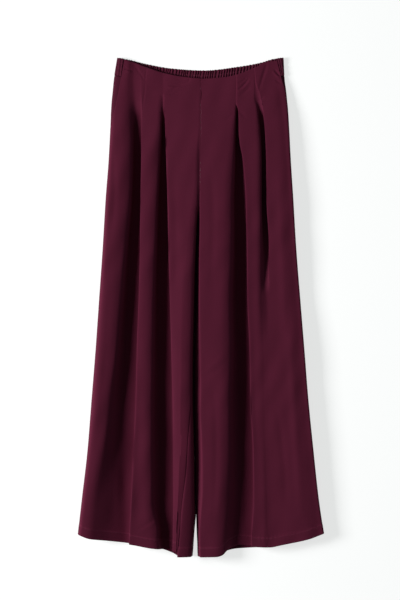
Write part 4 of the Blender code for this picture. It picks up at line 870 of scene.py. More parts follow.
def loft(sections, levels, rows_y, top_edge, hem_edge):
    """A panel's points, rows by columns, with its first row on one edge and its last on the other."""
    cuts = np.array(sections)
    count = cuts.shape[1]
    near_top = np.clip((rows_y - WAIST_REACH) / (rows_y[0] - WAIST_REACH), 0, 1)
    near_hem = np.clip((rows_y - HEM_REACH) / (rows_y[-1] - HEM_REACH), 0, 1)
    points = np.zeros((len(rows_y), count, 3))
    for col in range(count):
        top, hem = rows_y[0], rows_y[-1]
        for _ in range(EDGE_PASSES):
            top = float(top_edge(np.interp(top, levels, cuts[:, col, 0])))
            hem = float(hem_edge(np.interp(hem, levels, cuts[:, col, 0])))
        y = rows_y + near_top * (top - rows_y[0]) + near_hem * (hem - rows_y[-1])
        points[:, col, 0] = np.interp(y, levels, cuts[:, col, 0])
        points[:, col, 1] = y
        points[:, col, 2] = np.interp(y, levels, cuts[:, col, 1])
    return points


# ======================================================================
# relief worked into the cloth
# ======================================================================

def grid_normals(points):
    """Unit normals of a grid of points, on the side from which its rows run down."""
    down = np.gradient(points, axis=0)
    across = np.gradient(points, axis=1)
    normal = np.cross(down, across)
    return normal / np.maximum(np.linalg.norm(normal, axis=2), 1e-12)[..., None]


def smooth_step(low, high, x):
    """0 below low, 1 above high, and a smooth rise between."""
    s = np.clip((x - low) / (high - low), 0, 1)
    return s * s * (3 - 2 * s)


def bell(distance, width):
    """1 at no distance, falling off smoothly on both sides over about a width."""
    return np.exp(-(distance / width) ** 2)


def crease_relief(x, y, creases):
    """Height of a list of creases at the places x, y."""
    relief = np.zeros_like(x)
    steps = np.linspace(0, 1, 15)
    for crease in creases:
        a = (1 - steps) ** 2
        b = 2 * steps * (1 - steps)
        c = steps ** 2
        bend_x = 2 * crease.x2 - 0.5 * (crease.x1 + crease.x3)
        bend_y = 2 * crease.y2 - 0.5 * (crease.y1 + crease.y3)
        line_x = a * crease.x1 + b * bend_x + c * crease.x3
        line_y = a * crease.y1 + b * bend_y + c * crease.y3
        reach = 4 * crease.width
        near = ((x > line_x.min() - reach) & (x < line_x.max() + reach)
                & (y > line_y.min() - reach) & (y < line_y.max() + reach))
        px, py = x[near], y[near]
        best = np.full(px.shape, np.inf)
        along = np.zeros(px.shape)
        for i in range(len(steps) - 1):
            run_x, run_y = line_x[i + 1] - line_x[i], line_y[i + 1] - line_y[i]
            s = ((px - line_x[i]) * run_x + (py - line_y[i]) * run_y) / (run_x ** 2 + run_y ** 2)
            s = np.clip(s, 0, 1)
            far = np.hypot(px - line_x[i] - s * run_x, py - line_y[i] - s * run_y)
            closer = far < best
            best[closer] = far[closer]
            along[closer] = (i + s[closer]) / (len(steps) - 1)
        fade = np.sqrt(np.clip(np.sin(np.pi * along), 0, 1))
        relief[near] += crease.height * fade * 0.5 ** ((best / crease.width) ** 2)
    return relief


def drape_relief(x, y, height, seed):
    """Long, faint swells: a sum of a few slanting waves."""
    chance = np.random.default_rng(seed)
    relief = np.zeros_like(x)
    for _ in range(SWELLS):
        across = chance.uniform(*SWELL_ACROSS)
        down = chance.uniform(*SWELL_DOWN)
        shift = chance.uniform(0, 2 * np.pi)
        lean = chance.uniform(-SWELL_LEAN, SWELL_LEAN)
        relief += np.sin(2 * np.pi * (x + lean * y) / across + shift
                         + SWELL_SWAY * np.sin(2 * np.pi * y / down + 2 * shift))
    return height * relief / np.sqrt(SWELLS)


def hem_relief(above_hem, along, cloth):
    """The turned-up hem: a second layer under the stitch line, puckered by the stitches."""
    above = above_hem - cloth.hem_depth
    layer = cloth.hem_layer * (1 - smooth_step(-HEM_FADE, HEM_FADE, above))
    groove = -GROOVE_DEPTH * bell(above, GROOVE_WIDTH)
    ridge = RIDGE_HEIGHT * bell(above - RIDGE_ABOVE, RIDGE_WIDTH)
    turn = 2 * np.pi * along / PUCKER_PITCH + 2 * np.sin(along / PUCKER_DRIFT)
    pucker = PUCKER_HEIGHT * bell(above, PUCKER_REACH) * np.sin(turn)
    return layer + groove + ridge + pucker


def arc_lengths(points, axis):
    """Distances run along a grid's rows or columns."""
    step = np.linalg.norm(np.diff(points, axis=axis), axis=2)
    start = np.zeros_like(np.take(step, [0], axis=axis))
    return np.concatenate([start, np.cumsum(step, axis=axis)], axis=axis)


# ======================================================================
# meshes
# ======================================================================

def shell(name, outer, inner, press_and_painted_highlight, material):
    """A closed sheet of cloth between two grids, with rounded rims, cloth UVs and lines of painted
    highlight, which are also less rough; its rims are painted at full highlight.
    """
    rows, cols = outer.shape[:2]
    count = rows * cols
    grid = np.arange(count).reshape(rows, cols)
    faces = np.stack([grid[:-1, :-1], grid[1:, :-1], grid[1:, 1:], grid[:-1, 1:]], axis=2).reshape(-1, 4)
    border = np.concatenate([grid[0, :-1], grid[:-1, -1], grid[-1, :0:-1], grid[:0:-1, 0]])
    inside = np.concatenate([grid[1, :-1], grid[:-1, -2], grid[-2, :0:-1], grid[:0:-1, 1]])
    flat_outer, flat_inner = outer.reshape(-1, 3), inner.reshape(-1, 3)
    out_way = flat_outer[border] - flat_outer[inside]
    out_way /= np.maximum(np.linalg.norm(out_way, axis=1), 1e-9)[:, None]
    wall = np.linalg.norm(flat_outer[border] - flat_inner[border], axis=1)[:, None]
    rim = (flat_outer[border] + flat_inner[border]) / 2 + RIM_BULGE * wall * out_way
    rounded_outer = flat_outer.copy()
    rounded_inner = flat_inner.copy()
    inward = flat_inner[border] - flat_outer[border]
    rounded_outer[border] += RIM_INSET * inward - RIM_PULL * wall * out_way
    rounded_inner[border] -= RIM_INSET * inward + RIM_PULL * wall * out_way
    ring = 2 * count + np.arange(len(border))
    ring_next, border_next = np.roll(ring, -1), np.roll(border, -1)
    rim_faces = np.vstack([
        np.column_stack([border, border_next, ring_next, ring]),
        np.column_stack([ring, ring_next, border_next + count, border + count]),
    ])
    all_faces = np.vstack([faces, faces[:, ::-1] + count, rim_faces])
    points = np.vstack([rounded_outer, rounded_inner, rim])
    across = arc_lengths(outer, 1)
    across -= across[:, cols // 2][:, None]
    down = arc_lengths(outer, 0)
    uv = np.column_stack([across.reshape(-1), -down.reshape(-1)])
    uv = np.vstack([uv, uv, uv[border]])
    # painted highlight: these lines make the colour paler and lower the roughness, and every rim is
    # painted at full highlight, as an edge catching the light
    lines = press_and_painted_highlight.reshape(-1)
    lines = np.concatenate([lines, lines, np.ones(len(border))])
    return cloth_object(name, points, all_faces, uv, lines, material)


def smooth_object(name, points, faces, material):
    """A smoothly shaded object at the origin from its points and faces."""
    mesh = bpy.data.meshes.new(name)
    mesh.from_pydata(points.tolist(), [], faces)
    mesh.update()
    mesh.shade_smooth()
    mesh.materials.append(material)
    piece = bpy.data.objects.new(name, mesh)
    bpy.context.scene.collection.objects.link(piece)
    return piece


def cloth_object(name, points, faces, uv, press_and_painted_highlight, material):
    """A piece of cloth from arrays, with its UV map and its lines of painted highlight as an attribute.
    """
    piece = smooth_object(name, points, faces.tolist(), material)
    mesh = piece.data
    corners = np.zeros(len(mesh.loops), dtype=np.int32)
    mesh.loops.foreach_get("vertex_index", corners)
    layer = mesh.uv_layers.new(name="cloth")
    layer.data.foreach_set("uv", uv[corners].astype(np.float32).ravel())
    # the lines of painted highlight go to the material as a point attribute
    attribute = mesh.attributes.new("press_and_painted_highlight", "FLOAT", "POINT")
    attribute.data.foreach_set("value", press_and_painted_highlight.astype(np.float32))
    return piece


def stitches(name, runs, cloth, material):
    """Rows of thread stitches along runs of points, each run with its surface normals."""
    sides, rings = THREAD_SIDES, len(STITCH_AT)
    turns = np.linspace(0, 2 * np.pi, sides, endpoint=False)
    radius = cloth.thread / 2
    length = STITCH_SHARE * cloth.stitch_pitch
    points, faces = [], []
    for path, normals in runs:
        along = np.concatenate([[0.0], np.cumsum(np.linalg.norm(np.diff(path, axis=0), axis=1))])
        count = int(along[-1] / cloth.stitch_pitch)
        for i in range(count):
            at = (i + STITCH_START) * cloth.stitch_pitch + STITCH_AT * length
            centre = np.column_stack([np.interp(at, along, path[:, k]) for k in range(3)])
            normal = np.column_stack([np.interp(at, along, normals[:, k]) for k in range(3)])
            normal /= np.linalg.norm(normal, axis=1)[:, None]
            ahead = np.gradient(centre, axis=0)
            ahead /= np.linalg.norm(ahead, axis=1)[:, None]
            beside = np.cross(normal, ahead)
            start = len(points) * sides
            for k in range(rings):
                middle = centre[k] + radius * STITCH_LIFT[k] * normal[k]
                size = radius * STITCH_SIZE[k]
                ring = middle + size * (np.outer(np.cos(turns), beside[k])
                                        + np.outer(np.sin(turns), normal[k]))
                points.append(ring)
            for k in range(rings - 1):
                for s in range(sides):
                    a, b = start + k * sides + s, start + k * sides + (s + 1) % sides
                    faces.append((a, b, b + sides, a + sides))
            faces.append(tuple(start + s for s in reversed(range(sides))))
            last = start + (rings - 1) * sides
            faces.append(tuple(last + s for s in range(sides)))
    return smooth_object(name, np.vstack(points), faces, material)


def line_at(points, normals, distance, wanted):
    """The line across a panel on which a distance, given at each point, has the wanted value."""
    path, ways = [], []
    for col in range(points.shape[1]):
        column = distance[:, col]
        order = np.argsort(column)
        path.append([np.interp(wanted, column[order], points[order, col, k]) for k in range(3)])
        ways.append([np.interp(wanted, column[order], normals[order, col, k]) for k in range(3)])
    return np.array(path), np.array(ways)


# ======================================================================
# materials
# ======================================================================

def node_group(name, inputs, outputs):
    """A new shader node group with its sockets, and its input and output nodes."""
    group = bpy.data.node_groups.new(name, "ShaderNodeTree")
    for label, kind, default in inputs:
        socket = group.interface.new_socket(label, in_out="INPUT", socket_type=kind)
        if default is not None:
            socket.default_value = default
    for label, kind in outputs:
        group.interface.new_socket(label, in_out="OUTPUT", socket_type=kind)
    return group, group.nodes.new("NodeGroupInput"), group.nodes.new("NodeGroupOutput")


def math_node(nodes, links, operation, first, second=None, third=None):
    """A Math node with sockets or numbers on its inputs: its output socket."""
    node = nodes.new("ShaderNodeMath")
    node.operation = operation
    for slot, value in enumerate((first, second, third)):
        if value is None:
            continue
        if isinstance(value, (int, float)):
            node.inputs[slot].default_value = value
        else:
            links.new(value, node.inputs[slot])
    return node.outputs[0]


def crepe_weave_group():
    """Crepe twill: slanting ribs crossed by fine, uneven, pebbled yarn."""
    group, given, result = node_group(
        "crepe_weave",
        [("Vector", "NodeSocketVector", None), ("Pitch", "NodeSocketFloat", 0.001),
         ("Pebble", "NodeSocketFloat", 0.5)],
        [("Height", "NodeSocketFloat"), ("Rib", "NodeSocketFloat")])
    nodes, links = group.nodes, group.links
    split = nodes.new("ShaderNodeSeparateXYZ")
    links.new(given.outputs["Vector"], split.inputs[0])
    turn = math_node(nodes, links, "DIVIDE", 2 * np.pi, given.outputs["Pitch"])
    wander = nodes.new("ShaderNodeTexNoise")
    wander.inputs["Scale"].default_value = 260.0
    wander.inputs["Detail"].default_value = 2.0
    links.new(given.outputs["Vector"], wander.inputs["Vector"])
    rib_slant, rib_wander = 0.72, 3.0
    cross_rate, cross_share = 1.7, 0.35
    slant = math_node(nodes, links, "MULTIPLY_ADD", split.outputs["Y"], rib_slant,
                      split.outputs["X"])
    phase = math_node(nodes, links, "MULTIPLY", slant, turn)
    phase = math_node(nodes, links, "MULTIPLY_ADD", wander.outputs["Fac"], rib_wander, phase)
    rib = math_node(nodes, links, "SINE", phase)
    cross = math_node(nodes, links, "MULTIPLY", split.outputs["Y"], turn)
    cross = math_node(nodes, links, "SINE", math_node(nodes, links, "MULTIPLY", cross, cross_rate))
    weave = math_node(nodes, links, "MULTIPLY_ADD", cross, cross_share, rib)
    pebble = nodes.new("ShaderNodeTexNoise")
    pebble.inputs["Scale"].default_value = 1500.0
    pebble.inputs["Detail"].default_value = 3.0
    links.new(given.outputs["Vector"], pebble.inputs["Vector"])
    grain = math_node(nodes, links, "MULTIPLY", pebble.outputs["Fac"], given.outputs["Pebble"])
    height = math_node(nodes, links, "MULTIPLY_ADD", weave, 0.30, grain)
    links.new(height, result.inputs["Height"])
    links.new(math_node(nodes, links, "MULTIPLY_ADD", weave, 0.37, 0.5), result.inputs["Rib"])
    return group


def cloth_tone_group():
    """Dyed cloth's colour: soft mottling, faint yarn streaks, and lines of painted highlight, which are
    also less rough.
    """
    group, given, result = node_group(
        "cloth_tone",
        [("Colour", "NodeSocketColor", (0.1, 0.02, 0.03, 1)), ("Vector", "NodeSocketVector", None),
         ("Rib", "NodeSocketFloat", 0.5), ("Press And Painted Highlight", "NodeSocketFloat", 0.0),
         ("Mottle", "NodeSocketFloat", 0.12), ("Press And Painted Highlight Strength", "NodeSocketFloat", 0.35)],
        [("Colour", "NodeSocketColor"), ("Roughness", "NodeSocketFloat")])
    nodes, links = group.nodes, group.links
    mottle = nodes.new("ShaderNodeTexNoise")
    mottle.inputs["Scale"].default_value = 22.0
    mottle.inputs["Detail"].default_value = 4.0
    links.new(given.outputs["Vector"], mottle.inputs["Vector"])
    stretch = nodes.new("ShaderNodeVectorMath")
    stretch.operation = "MULTIPLY"
    stretch.inputs[1].default_value = (900.0, 22.0, 1.0)
    links.new(given.outputs["Vector"], stretch.inputs[0])
    streak = nodes.new("ShaderNodeTexNoise")
    streak.inputs["Scale"].default_value = 1.0
    streak.inputs["Detail"].default_value = 2.0
    links.new(stretch.outputs[0], streak.inputs["Vector"])
    uneven = math_node(nodes, links, "ADD", mottle.outputs["Fac"],
                       math_node(nodes, links, "MULTIPLY", streak.outputs["Fac"], 0.5))
    uneven = math_node(nodes, links, "SUBTRACT", uneven, 0.75)
    light = math_node(nodes, links, "MULTIPLY_ADD", uneven, given.outputs["Mottle"], 1.0)
    ribs = math_node(nodes, links, "SUBTRACT", given.outputs["Rib"], 0.5)
    light = math_node(nodes, links, "MULTIPLY_ADD", ribs, 0.10, light)
    # painted highlight: these lines make the colour paler, and below they also lower the roughness
    press_and_highlight = math_node(nodes, links, "MULTIPLY", given.outputs["Press And Painted Highlight"],
                      given.outputs["Press And Painted Highlight Strength"])
    light = math_node(nodes, links, "ADD", light, press_and_highlight)
    scale = nodes.new("ShaderNodeVectorMath")
    scale.operation = "SCALE"
    links.new(given.outputs["Colour"], scale.inputs[0])
    links.new(light, scale.inputs["Scale"])
    links.new(scale.outputs[0], result.inputs["Colour"])
    rough = math_node(nodes, links, "MULTIPLY_ADD", uneven, 0.18, 0.80)
    rough = math_node(nodes, links, "MULTIPLY_ADD", press_and_highlight, -0.35, rough)
    links.new(rough, result.inputs["Roughness"])
    return group


def shared_group(name, make):
    """A node group that several materials use, made once."""
    return bpy.data.node_groups.get(name) or make()


def new_material(name):
    """A new material: itself, its nodes and links, and its Principled shader."""
    material = bpy.data.materials.new(name)
    material.use_nodes = True
    tree = material.node_tree
    return material, tree.nodes, tree.links, tree.nodes["Principled BSDF"]


def cloth_material(name, colour, pitch, mottle=0.12):
    """Matt crepe: weave bump, mottled colour and a faint wine sheen. Made once for each name."""
    found = bpy.data.materials.get(name)
    if found:
        return found
    material, nodes, links, shader = new_material(name)
    shader.inputs["Metallic"].default_value = 0.0
    shader.inputs["IOR"].default_value = 1.45
    shader.inputs["Specular IOR Level"].default_value = 0.06
    shader.inputs["Sheen Weight"].default_value = 0.03
    shader.inputs["Sheen Roughness"].default_value = 0.45
    shader.inputs["Sheen Tint"].default_value = (0.85, 0.30, 0.42, 1.0)
    uv = nodes.new("ShaderNodeUVMap")
    uv.uv_map = "cloth"
    weave = nodes.new("ShaderNodeGroup")
    weave.node_tree = shared_group("crepe_weave", crepe_weave_group)
    weave.inputs["Pitch"].default_value = pitch
    links.new(uv.outputs["UV"], weave.inputs["Vector"])
    # painted highlight lines, read from the mesh: paler colour and lower roughness along them
    lines = nodes.new("ShaderNodeAttribute")
    lines.attribute_name = "press_and_painted_highlight"
    tone = nodes.new("ShaderNodeGroup")
    tone.node_tree = shared_group("cloth_tone", cloth_tone_group)
    tone.inputs["Colour"].default_value = (*colour, 1.0)
    tone.inputs["Mottle"].default_value = mottle
    links.new(uv.outputs["UV"], tone.inputs["Vector"])
    links.new(weave.outputs["Rib"], tone.inputs["Rib"])
    links.new(lines.outputs["Fac"], tone.inputs["Press And Painted Highlight"])
    links.new(tone.outputs["Colour"], shader.inputs["Base Color"])
    links.new(tone.outputs["Roughness"], shader.inputs["Roughness"])
    relief = nodes.new("ShaderNodeBump")
    relief.inputs["Strength"].default_value = 0.55
    relief.inputs["Distance"].default_value = 0.00012
    links.new(weave.outputs["Height"], relief.inputs["Height"])
    links.new(relief.outputs["Normal"], shader.inputs["Normal"])
    return material


def thread_material(cloth):
    """Polyester sewing thread: two plies that twist, a little glossier than the crepe."""
    found = bpy.data.materials.get("wine_thread")
    if found:
        return found
    material, nodes, links, shader = new_material("wine_thread")
    shader.inputs["Specular IOR Level"].default_value = 0.45
    place = nodes.new("ShaderNodeTexCoord")
    plies = nodes.new("ShaderNodeTexWave")
    plies.inputs["Scale"].default_value = 900.0
    plies.inputs["Distortion"].default_value = 1.5
    links.new(place.outputs["Object"], plies.inputs["Vector"])
    ramp = nodes.new("ShaderNodeMix")
    ramp.data_type = "RGBA"
    ramp.inputs["A"].default_value = (*[0.7 * c for c in cloth.thread_colour], 1.0)
    ramp.inputs["B"].default_value = (*cloth.thread_colour, 1.0)
    links.new(plies.outputs["Fac"], ramp.inputs["Factor"])
    links.new(ramp.outputs["Result"], shader.inputs["Base Color"])
    shader.inputs["Roughness"].default_value = 0.55
    return material


def crepe(cloth):
    """The panels' crepe."""
    return cloth_material("wine_crepe", cloth.wine, cloth.weave_pitch)


# ======================================================================
# the pieces
# ======================================================================

# hand: the way from the middle to the leg's side, along X.
Leg = namedtuple("Leg", "name hand side panels outer inner columns front_hem back_hem")
LEGS = [
    Leg("right", -1, RIGHT_SIDE, RIGHT_PANELS, RIGHT_OUTER, RIGHT_INNER, RIGHT_COLUMNS,
        FRONT_HEM_RIGHT, BACK_HEM_RIGHT),
    Leg("left", 1, LEFT_SIDE, LEFT_PANELS, LEFT_OUTER, LEFT_INNER, LEFT_COLUMNS,
        FRONT_HEM_LEFT, BACK_HEM_LEFT),
]
# Cut of each panel as laid flat before it was sewn: widest, longest, area.
Cut = namedtuple("Cut", "width length area")


def section_levels():
    """Levels at which sections are worked out: close where the pleats open, and at the crotch."""
    spread = np.linspace(LEVEL_LOW, LEVEL_HIGH, LEVELS)
    pleats = np.linspace(PLEAT_LOW, PLEAT_HIGH, PLEAT_LEVELS)
    return np.unique(np.concatenate([spread, pleats, [CROTCH_Y, CROTCH_Y - CROTCH_STEP]]))


def front_points(leg, cloth):
    """A front panel's outer points before its relief."""
    levels = section_levels()
    section = right_front if leg.hand < 0 else left_front
    tables = [rows_at(rows, levels) for rows in (leg.side, MIDDLE, leg.panels, leg.outer, leg.inner)]
    sections = [thin(section(*rows), leg.columns) for rows in zip(*tables)]
    rows_y = panel_rows(TOP_LEVEL, cloth.hem_depth)
    return loft(sections, levels, rows_y, lambda x: edge_curve(FRONT_WAIST, x),
                lambda x: edge_curve(leg.front_hem, x))


def back_points(leg, cloth):
    """A back panel's outer points, which lie on the floor, before its relief."""
    levels = section_levels()
    tables = [rows_at(rows, levels) for rows in (leg.side, MIDDLE, leg.panels)]
    parts = [back_section(leg.hand, y, *rows) for y, *rows in zip(levels, *tables)]
    columns = BACK_COLUMNS
    if leg.hand > 0:
        parts = [[part[::-1] for part in reversed(section)] for section in parts]
        columns = columns[::-1]
    sections = [thin(section, columns) for section in parts]
    rows_y = panel_rows(BACK_TOP_LEVEL, cloth.hem_depth)
    return loft(sections, levels, rows_y,
                lambda x: edge_curve(BACK_WAIST, x) - BAND_HEIGHT - CASING_SEAM,
                lambda x: edge_curve(leg.back_hem, x))


def dress_panel(name, points, relief, cloth, hem_share):
    """A panel's shell, with its relief and hem worked in, and the line of its hem stitches."""
    normals = grid_normals(points)
    above_hem = points[..., 1] - points[-1:, :, 1]
    along = arc_lengths(points, 1)
    hem = hem_relief(above_hem, along, cloth)
    outer = points + (relief + hem * hem_share)[..., None] * normals
    outer[..., 2] = np.maximum(outer[..., 2], 0.0)
    normals = grid_normals(outer)
    inner = outer - cloth.wall * normals
    # painted highlights: a pale line just above the hem's stitches and another along the hem's edge
    stitch_line = bell(above_hem - cloth.hem_depth - STITCH_HIGHLIGHT_WIDTH, STITCH_HIGHLIGHT_WIDTH)
    hem_edge = bell(above_hem, HEM_HIGHLIGHT_WIDTH)
    press_and_painted_highlight = np.clip(stitch_line + HEM_HIGHLIGHT * hem_edge, 0, 1)
    piece = shell(name, outer, inner, press_and_painted_highlight, crepe(cloth))
    return piece, line_at(outer, normals, above_hem, cloth.hem_depth)


def own(piece, node):
    """A piece that stands for one solid: it is attached to the root, and that solid is hidden."""
    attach(piece, "root")
    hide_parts(node)


class PALAZZO_OT_fronts(Operator):
    """Make both pleated front panels with their creases, hems and hem stitches"""
    bl_idname = "palazzo.make_fronts"
    bl_label = "Make Fronts"

    def execute(self, context):
        cloth = context.scene.palazzo_cloth
        for leg in LEGS:
            points = front_points(leg, cloth)
            x, y = points[..., 0], points[..., 1]
            upward = np.clip(grid_normals(points)[..., 2], 0, 1)
            relief = cloth.crease_scale * crease_relief(x, y, FRONT_CREASES) * upward
            relief += drape_relief(x, y, cloth.drape, cloth.seed) * upward
            node = "front_" + leg.name
            piece, run = dress_panel("crepe_" + node, points, relief, cloth, 1.0)
            own(piece, node)
            thread = stitches("hem_stitches_" + node, [run], cloth, thread_material(cloth))
            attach(thread, "root")
        return {"FINISHED"}


class PALAZZO_OT_backs(Operator):
    """Make both back panels, flat where they rest, with their creases and hems"""
    bl_idname = "palazzo.make_backs"
    bl_label = "Make Backs"

    def execute(self, context):
        cloth = context.scene.palazzo_cloth
        for leg in LEGS:
            points = back_points(leg, cloth)
            x, y, z = points[..., 0], points[..., 1], points[..., 2]
            on_floor = 1 - smooth_step(*OFF_FLOOR, z)
            relief = -cloth.crease_scale * crease_relief(x, y, BACK_CREASES) * on_floor
            node = "back_" + leg.name
            piece, _ = dress_panel("crepe_" + node, points, relief, cloth, 1 - on_floor)
            own(piece, node)
        return {"FINISHED"}


def band_path(left, left_panels, right, right_panels, count):
    """The casing's path at one level, from the left wrap under to the right wrap."""
    left_start = left.wrap + seam_wrap(lambda wrap: side_edge(left, left_panels, wrap), left.wrap)
    right_start = right.wrap + seam_wrap(lambda wrap: side_edge(right, right_panels, wrap),
                                         right.wrap)
    left_end = side_edge(left, left_panels, np.linspace(left_start, 2, DENSE))
    right_end = side_edge(right, right_panels, np.linspace(2, right_start, DENSE))
    flat = np.linspace(left_end[-1], right_end[0], DENSE)
    path = np.vstack([left_end, flat[1:-1], right_end])
    step = np.linalg.norm(np.diff(path, axis=0), axis=1)
    along = np.concatenate([[0.0], np.cumsum(step)])
    at = np.linspace(0, along[-1], count)
    return np.column_stack([np.interp(at, along, path[:, 0]), np.interp(at, along, path[:, 1])])


def gather_waves(cloth, down, count):
    """The casing's gathers: a wave, 0 in a groove and 1 on a gather, and the gathers' heights."""
    chance = np.random.default_rng(cloth.seed)
    starts = np.arange(cloth.gathers) * 2 * np.pi
    widths = chance.uniform(*GATHER_WIDTHS, cloth.gathers)
    ends = np.concatenate([[0.0], np.cumsum(widths)]) / widths.sum() * (count - 1)
    phase = np.interp(np.arange(count), ends, np.arange(cloth.gathers + 1)) * 2 * np.pi
    tall = np.interp(phase, starts, chance.uniform(*GATHER_HEIGHTS, cloth.gathers))
    slant = np.interp(phase, starts, chance.uniform(-GATHER_SLANT, GATHER_SLANT, cloth.gathers))
    turned = phase + slant * (down - GATHER_STRAIGHT) * GATHER_TWIST
    return (0.5 - 0.5 * np.cos(turned)) ** GATHER_SHARP, tall


def band_walls(cloth):
    """The casing's outer and inner points, and how far down the casing each one is, 0 to 1."""
    count = cloth.gathers * WAVE_STEPS + 1
    down = np.linspace(0, 1, BAND_ROWS)[:, None]
    levels = BAND_LEVEL - BAND_DROP * down[:, 0]
    tables = [rows_at(rows, levels)
              for rows in (LEFT_SIDE, LEFT_PANELS, RIGHT_SIDE, RIGHT_PANELS)]
    path = np.array([band_path(*rows, count) for rows in zip(*tables)])
    x, z = path[..., 0], path[..., 1]
    wave, tall = gather_waves(cloth, down, count)
    puff = 1 - PUFF_LOSS * sum(bell(down - at, PUFF_WIDTH) for at in BAND_STITCHES)
    puff *= TOP_PUFF + (1 - TOP_PUFF) * smooth_step(0.0, TOP_PUFF_REACH, down)
    scallop = SCALLOP * (wave[:1] - 0.5) * (1 - down) ** 3
    y = edge_curve(BACK_WAIST, x) - BAND_HEIGHT * down + scallop

    from_side = np.minimum(x.max() - x, x - x.min())
    inside = smooth_step(*WRAP_START, from_side) * (1 - smooth_step(*WRAP_LIFT, z))
    on_top = smooth_step(*WRAP_TOP, z)
    outer = np.stack([x, y, z], axis=2)
    normals = grid_normals(outer)
    relief = cloth.crease_scale * crease_relief(x, y, BAND_CREASES) * on_top
    relief -= OUTER_GATHER * cloth.gather_height * (1 - wave) * (1 - inside) * on_top * puff
    relief -= UNDER_GATHER * (1 - wave) * inside * puff
    outer = outer + relief[..., None] * normals
    wall = BAND_WALL + inside * cloth.gather_height * wave * tall * puff
    inner = outer - (wall + np.minimum(relief, 0) * inside)[..., None] * normals
    return outer, inner, np.broadcast_to(down, x.shape)


class PALAZZO_OT_waistband(Operator):
    """Make the gathered elastic casing of the back waist, with its row of stitches"""
    bl_idname = "palazzo.make_waistband"
    bl_label = "Make Waistband"

    def execute(self, context):
        cloth = context.scene.palazzo_cloth
        outer, inner, down = band_walls(cloth)
        # painted highlight along the casing's top edge
        press_and_painted_highlight = BAND_HIGHLIGHT * bell(down * BAND_HEIGHT, BAND_HIGHLIGHT_WIDTH)
        # the casing's crepe is painted darker than the panels': painted shade
        piece = shell("gathered_waistband", outer, inner, press_and_painted_highlight,
                      cloth_material("gathered_casing_painted_shade", cloth.painted_shade, cloth.weave_pitch, mottle=0.2))
        own(piece, "back_waistband")
        inner_normals = -grid_normals(inner)
        runs = [line_at(inner, inner_normals, down, at) for at in BAND_STITCHES]
        thread = stitches("casing_stitches", runs, cloth, thread_material(cloth))
        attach(thread, "root")
        return {"FINISHED"}


def facing_points(leg, inset, top_y, mouth_end):
    """A pocket facing's points: the side's round edge drawn in, and its tuck under the front."""
    levels = np.linspace(top_y, mouth_end, FACING_ROWS)
    wraps = np.linspace(1, 0, FACING_COLUMNS + 1)
    face = np.zeros((FACING_ROWS, FACING_COLUMNS + 2, 3))
    out = leg.hand
    table = zip(levels, rows_at(leg.side, levels), rows_at(leg.panels, levels))
    for row, (y, side, panels) in enumerate(table):
        top = panels.outer - side.sink
        under_front = np.clip((side.wrap - MOUTH_WRAP) / MOUTH_WRAP, 0, 1)
        rim = side.rim - out * (inset - LAYER * (1 - under_front))
        edge = round_edge(side.crest, top - inset, rim, MID_HEIGHT * top, wraps,
                          EDGE_FULLNESS[out])
        mouth = side.rim
        if side.wrap < 1:
            mouth = side.crest + (side.rim - side.crest) * np.sin(side.wrap * np.pi / 2)
        last = min(mouth * out, side.crest * out) - POCKET_TUCK
        x, z = np.vstack([edge, [(out * last, top - inset)]]).T
        casing = edge_curve(BACK_WAIST, x) - BAND_HEIGHT - CASING_SEAM
        share = (y - mouth_end) / (top_y - mouth_end)
        face[row] = np.column_stack([x, mouth_end + share * (casing - mouth_end), z])
    return face


class PALAZZO_OT_facings(Operator):
    """Make the facing strips that show behind the slanting pocket mouths"""
    bl_idname = "palazzo.make_facings"
    bl_label = "Make Pocket Facings"

    def execute(self, context):
        cloth = context.scene.palazzo_cloth
        for leg in LEGS:
            node = "pocket_facing_" + leg.name
            mouth_end = max(row.y for row in leg.side if row.wrap >= 1.0) - POCKET_END
            top_y = BACK_WAIST[0].y - BAND_HEIGHT
            outer = facing_points(leg, LAYER, top_y, mouth_end)
            inner = facing_points(leg, LAYER + cloth.wall, top_y, mouth_end)
            if leg.hand > 0:
                outer, inner = outer[:, ::-1], inner[:, ::-1]
            # the facings' crepe is painted darker than the panels': painted shade
            piece = shell(node + "_strip", outer, inner, np.zeros(outer.shape[:2]),
                          cloth_material("facing_crepe_painted_shade", cloth.painted_shade, cloth.weave_pitch))
            own(piece, node)
        return {"FINISHED"}


def add_lamp(context, name, place, size, power):
    """A square area light at a place, turned to the middle of the floor."""
    light = bpy.data.lights.new(name, "AREA")
    light.shape = "SQUARE"
    light.size = size
    light.energy = power
    lamp = bpy.data.objects.new(name + "_light", light)
    lamp.location = place
    lamp.rotation_euler = (-Vector(place)).to_track_quat("-Z", "Y").to_euler()
    context.scene.collection.objects.link(lamp)


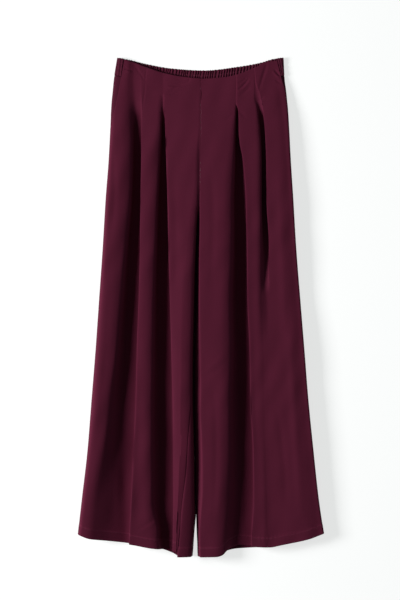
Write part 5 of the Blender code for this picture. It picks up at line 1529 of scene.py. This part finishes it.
class PALAZZO_OT_stage(Operator):
    """Set the pale floor, the soft studio lights and the camera straight above"""
    bl_idname = "palazzo.set_stage"
    bl_label = "Set Stage"

    def execute(self, context):
        studio = context.scene.palazzo_studio
        bpy.ops.object.select_all(action="DESELECT")
        bpy.ops.mesh.primitive_circle_add(vertices=96, radius=FLOOR_SIZE, fill_type="NGON",
                                          location=(0, 0, -FLOOR_DROP))
        floor = context.object
        floor.name = "studio_floor"
        paint, _, _, shader = new_material("pale_floor")
        shader.inputs["Base Color"].default_value = (*studio.floor, 1.0)
        shader.inputs["Roughness"].default_value = 0.9
        shader.inputs["Emission Color"].default_value = (1.0, 1.0, 1.0, 1.0)
        shader.inputs["Emission Strength"].default_value = studio.glow
        shader.inputs["Specular IOR Level"].default_value = 0.1
        floor.data.materials.append(paint)

        add_lamp(context, "key", KEY_PLACE, KEY_SIZE, studio.key_power)
        add_lamp(context, "fill", FILL_PLACE, FILL_SIZE, studio.fill_power)

        world = bpy.data.worlds.new("studio_air")
        context.scene.world = world
        world.use_nodes = True
        air = world.node_tree.nodes["Background"]
        air.inputs["Color"].default_value = AIR_COLOUR
        air.inputs["Strength"].default_value = studio.ambient

        eye = bpy.data.cameras.new("camera")
        eye.lens = eye.sensor_width * studio.camera_height / studio.view_height
        camera = bpy.data.objects.new("camera", eye)
        camera.location = (CAMERA_X, CAMERA_Y, studio.camera_height)
        context.scene.collection.objects.link(camera)
        context.scene.camera = camera
        context.scene.view_settings.view_transform = "Standard"
        return {"FINISHED"}


class PALAZZO_PT_panel(Panel):
    """The pieces in the order in which they are made, and their sizes"""
    bl_label = "Palazzo Pants"
    bl_space_type = "VIEW_3D"
    bl_region_type = "UI"
    bl_category = "Palazzo"

    def draw(self, context):
        layout = self.layout
        for step in STEPS:
            layout.operator(step.bl_idname)
        for settings in (context.scene.palazzo_cloth, context.scene.palazzo_studio):
            box = layout.box()
            for name in settings.__annotations__:
                box.prop(settings, name)


STEPS = (PALAZZO_OT_backs, PALAZZO_OT_fronts, PALAZZO_OT_waistband, PALAZZO_OT_facings,
         PALAZZO_OT_stage)
CLASSES = (PalazzoCloth, PalazzoStudio, *STEPS, PALAZZO_PT_panel)


def register():
    """Register the classes and give every scene its settings."""
    for kind in CLASSES:
        bpy.utils.register_class(kind)
    bpy.types.Scene.palazzo_cloth = PointerProperty(type=PalazzoCloth)
    bpy.types.Scene.palazzo_studio = PointerProperty(type=PalazzoStudio)


def unregister():
    """Undo register."""
    del bpy.types.Scene.palazzo_studio
    del bpy.types.Scene.palazzo_cloth
    for kind in reversed(CLASSES):
        bpy.utils.unregister_class(kind)


def main():
    """Make every piece and the stage."""
    register()
    bpy.ops.palazzo.make_backs()
    bpy.ops.palazzo.make_fronts()
    bpy.ops.palazzo.make_waistband()
    bpy.ops.palazzo.make_facings()
    bpy.ops.palazzo.set_stage()


if __name__ == "__main__":
    main()
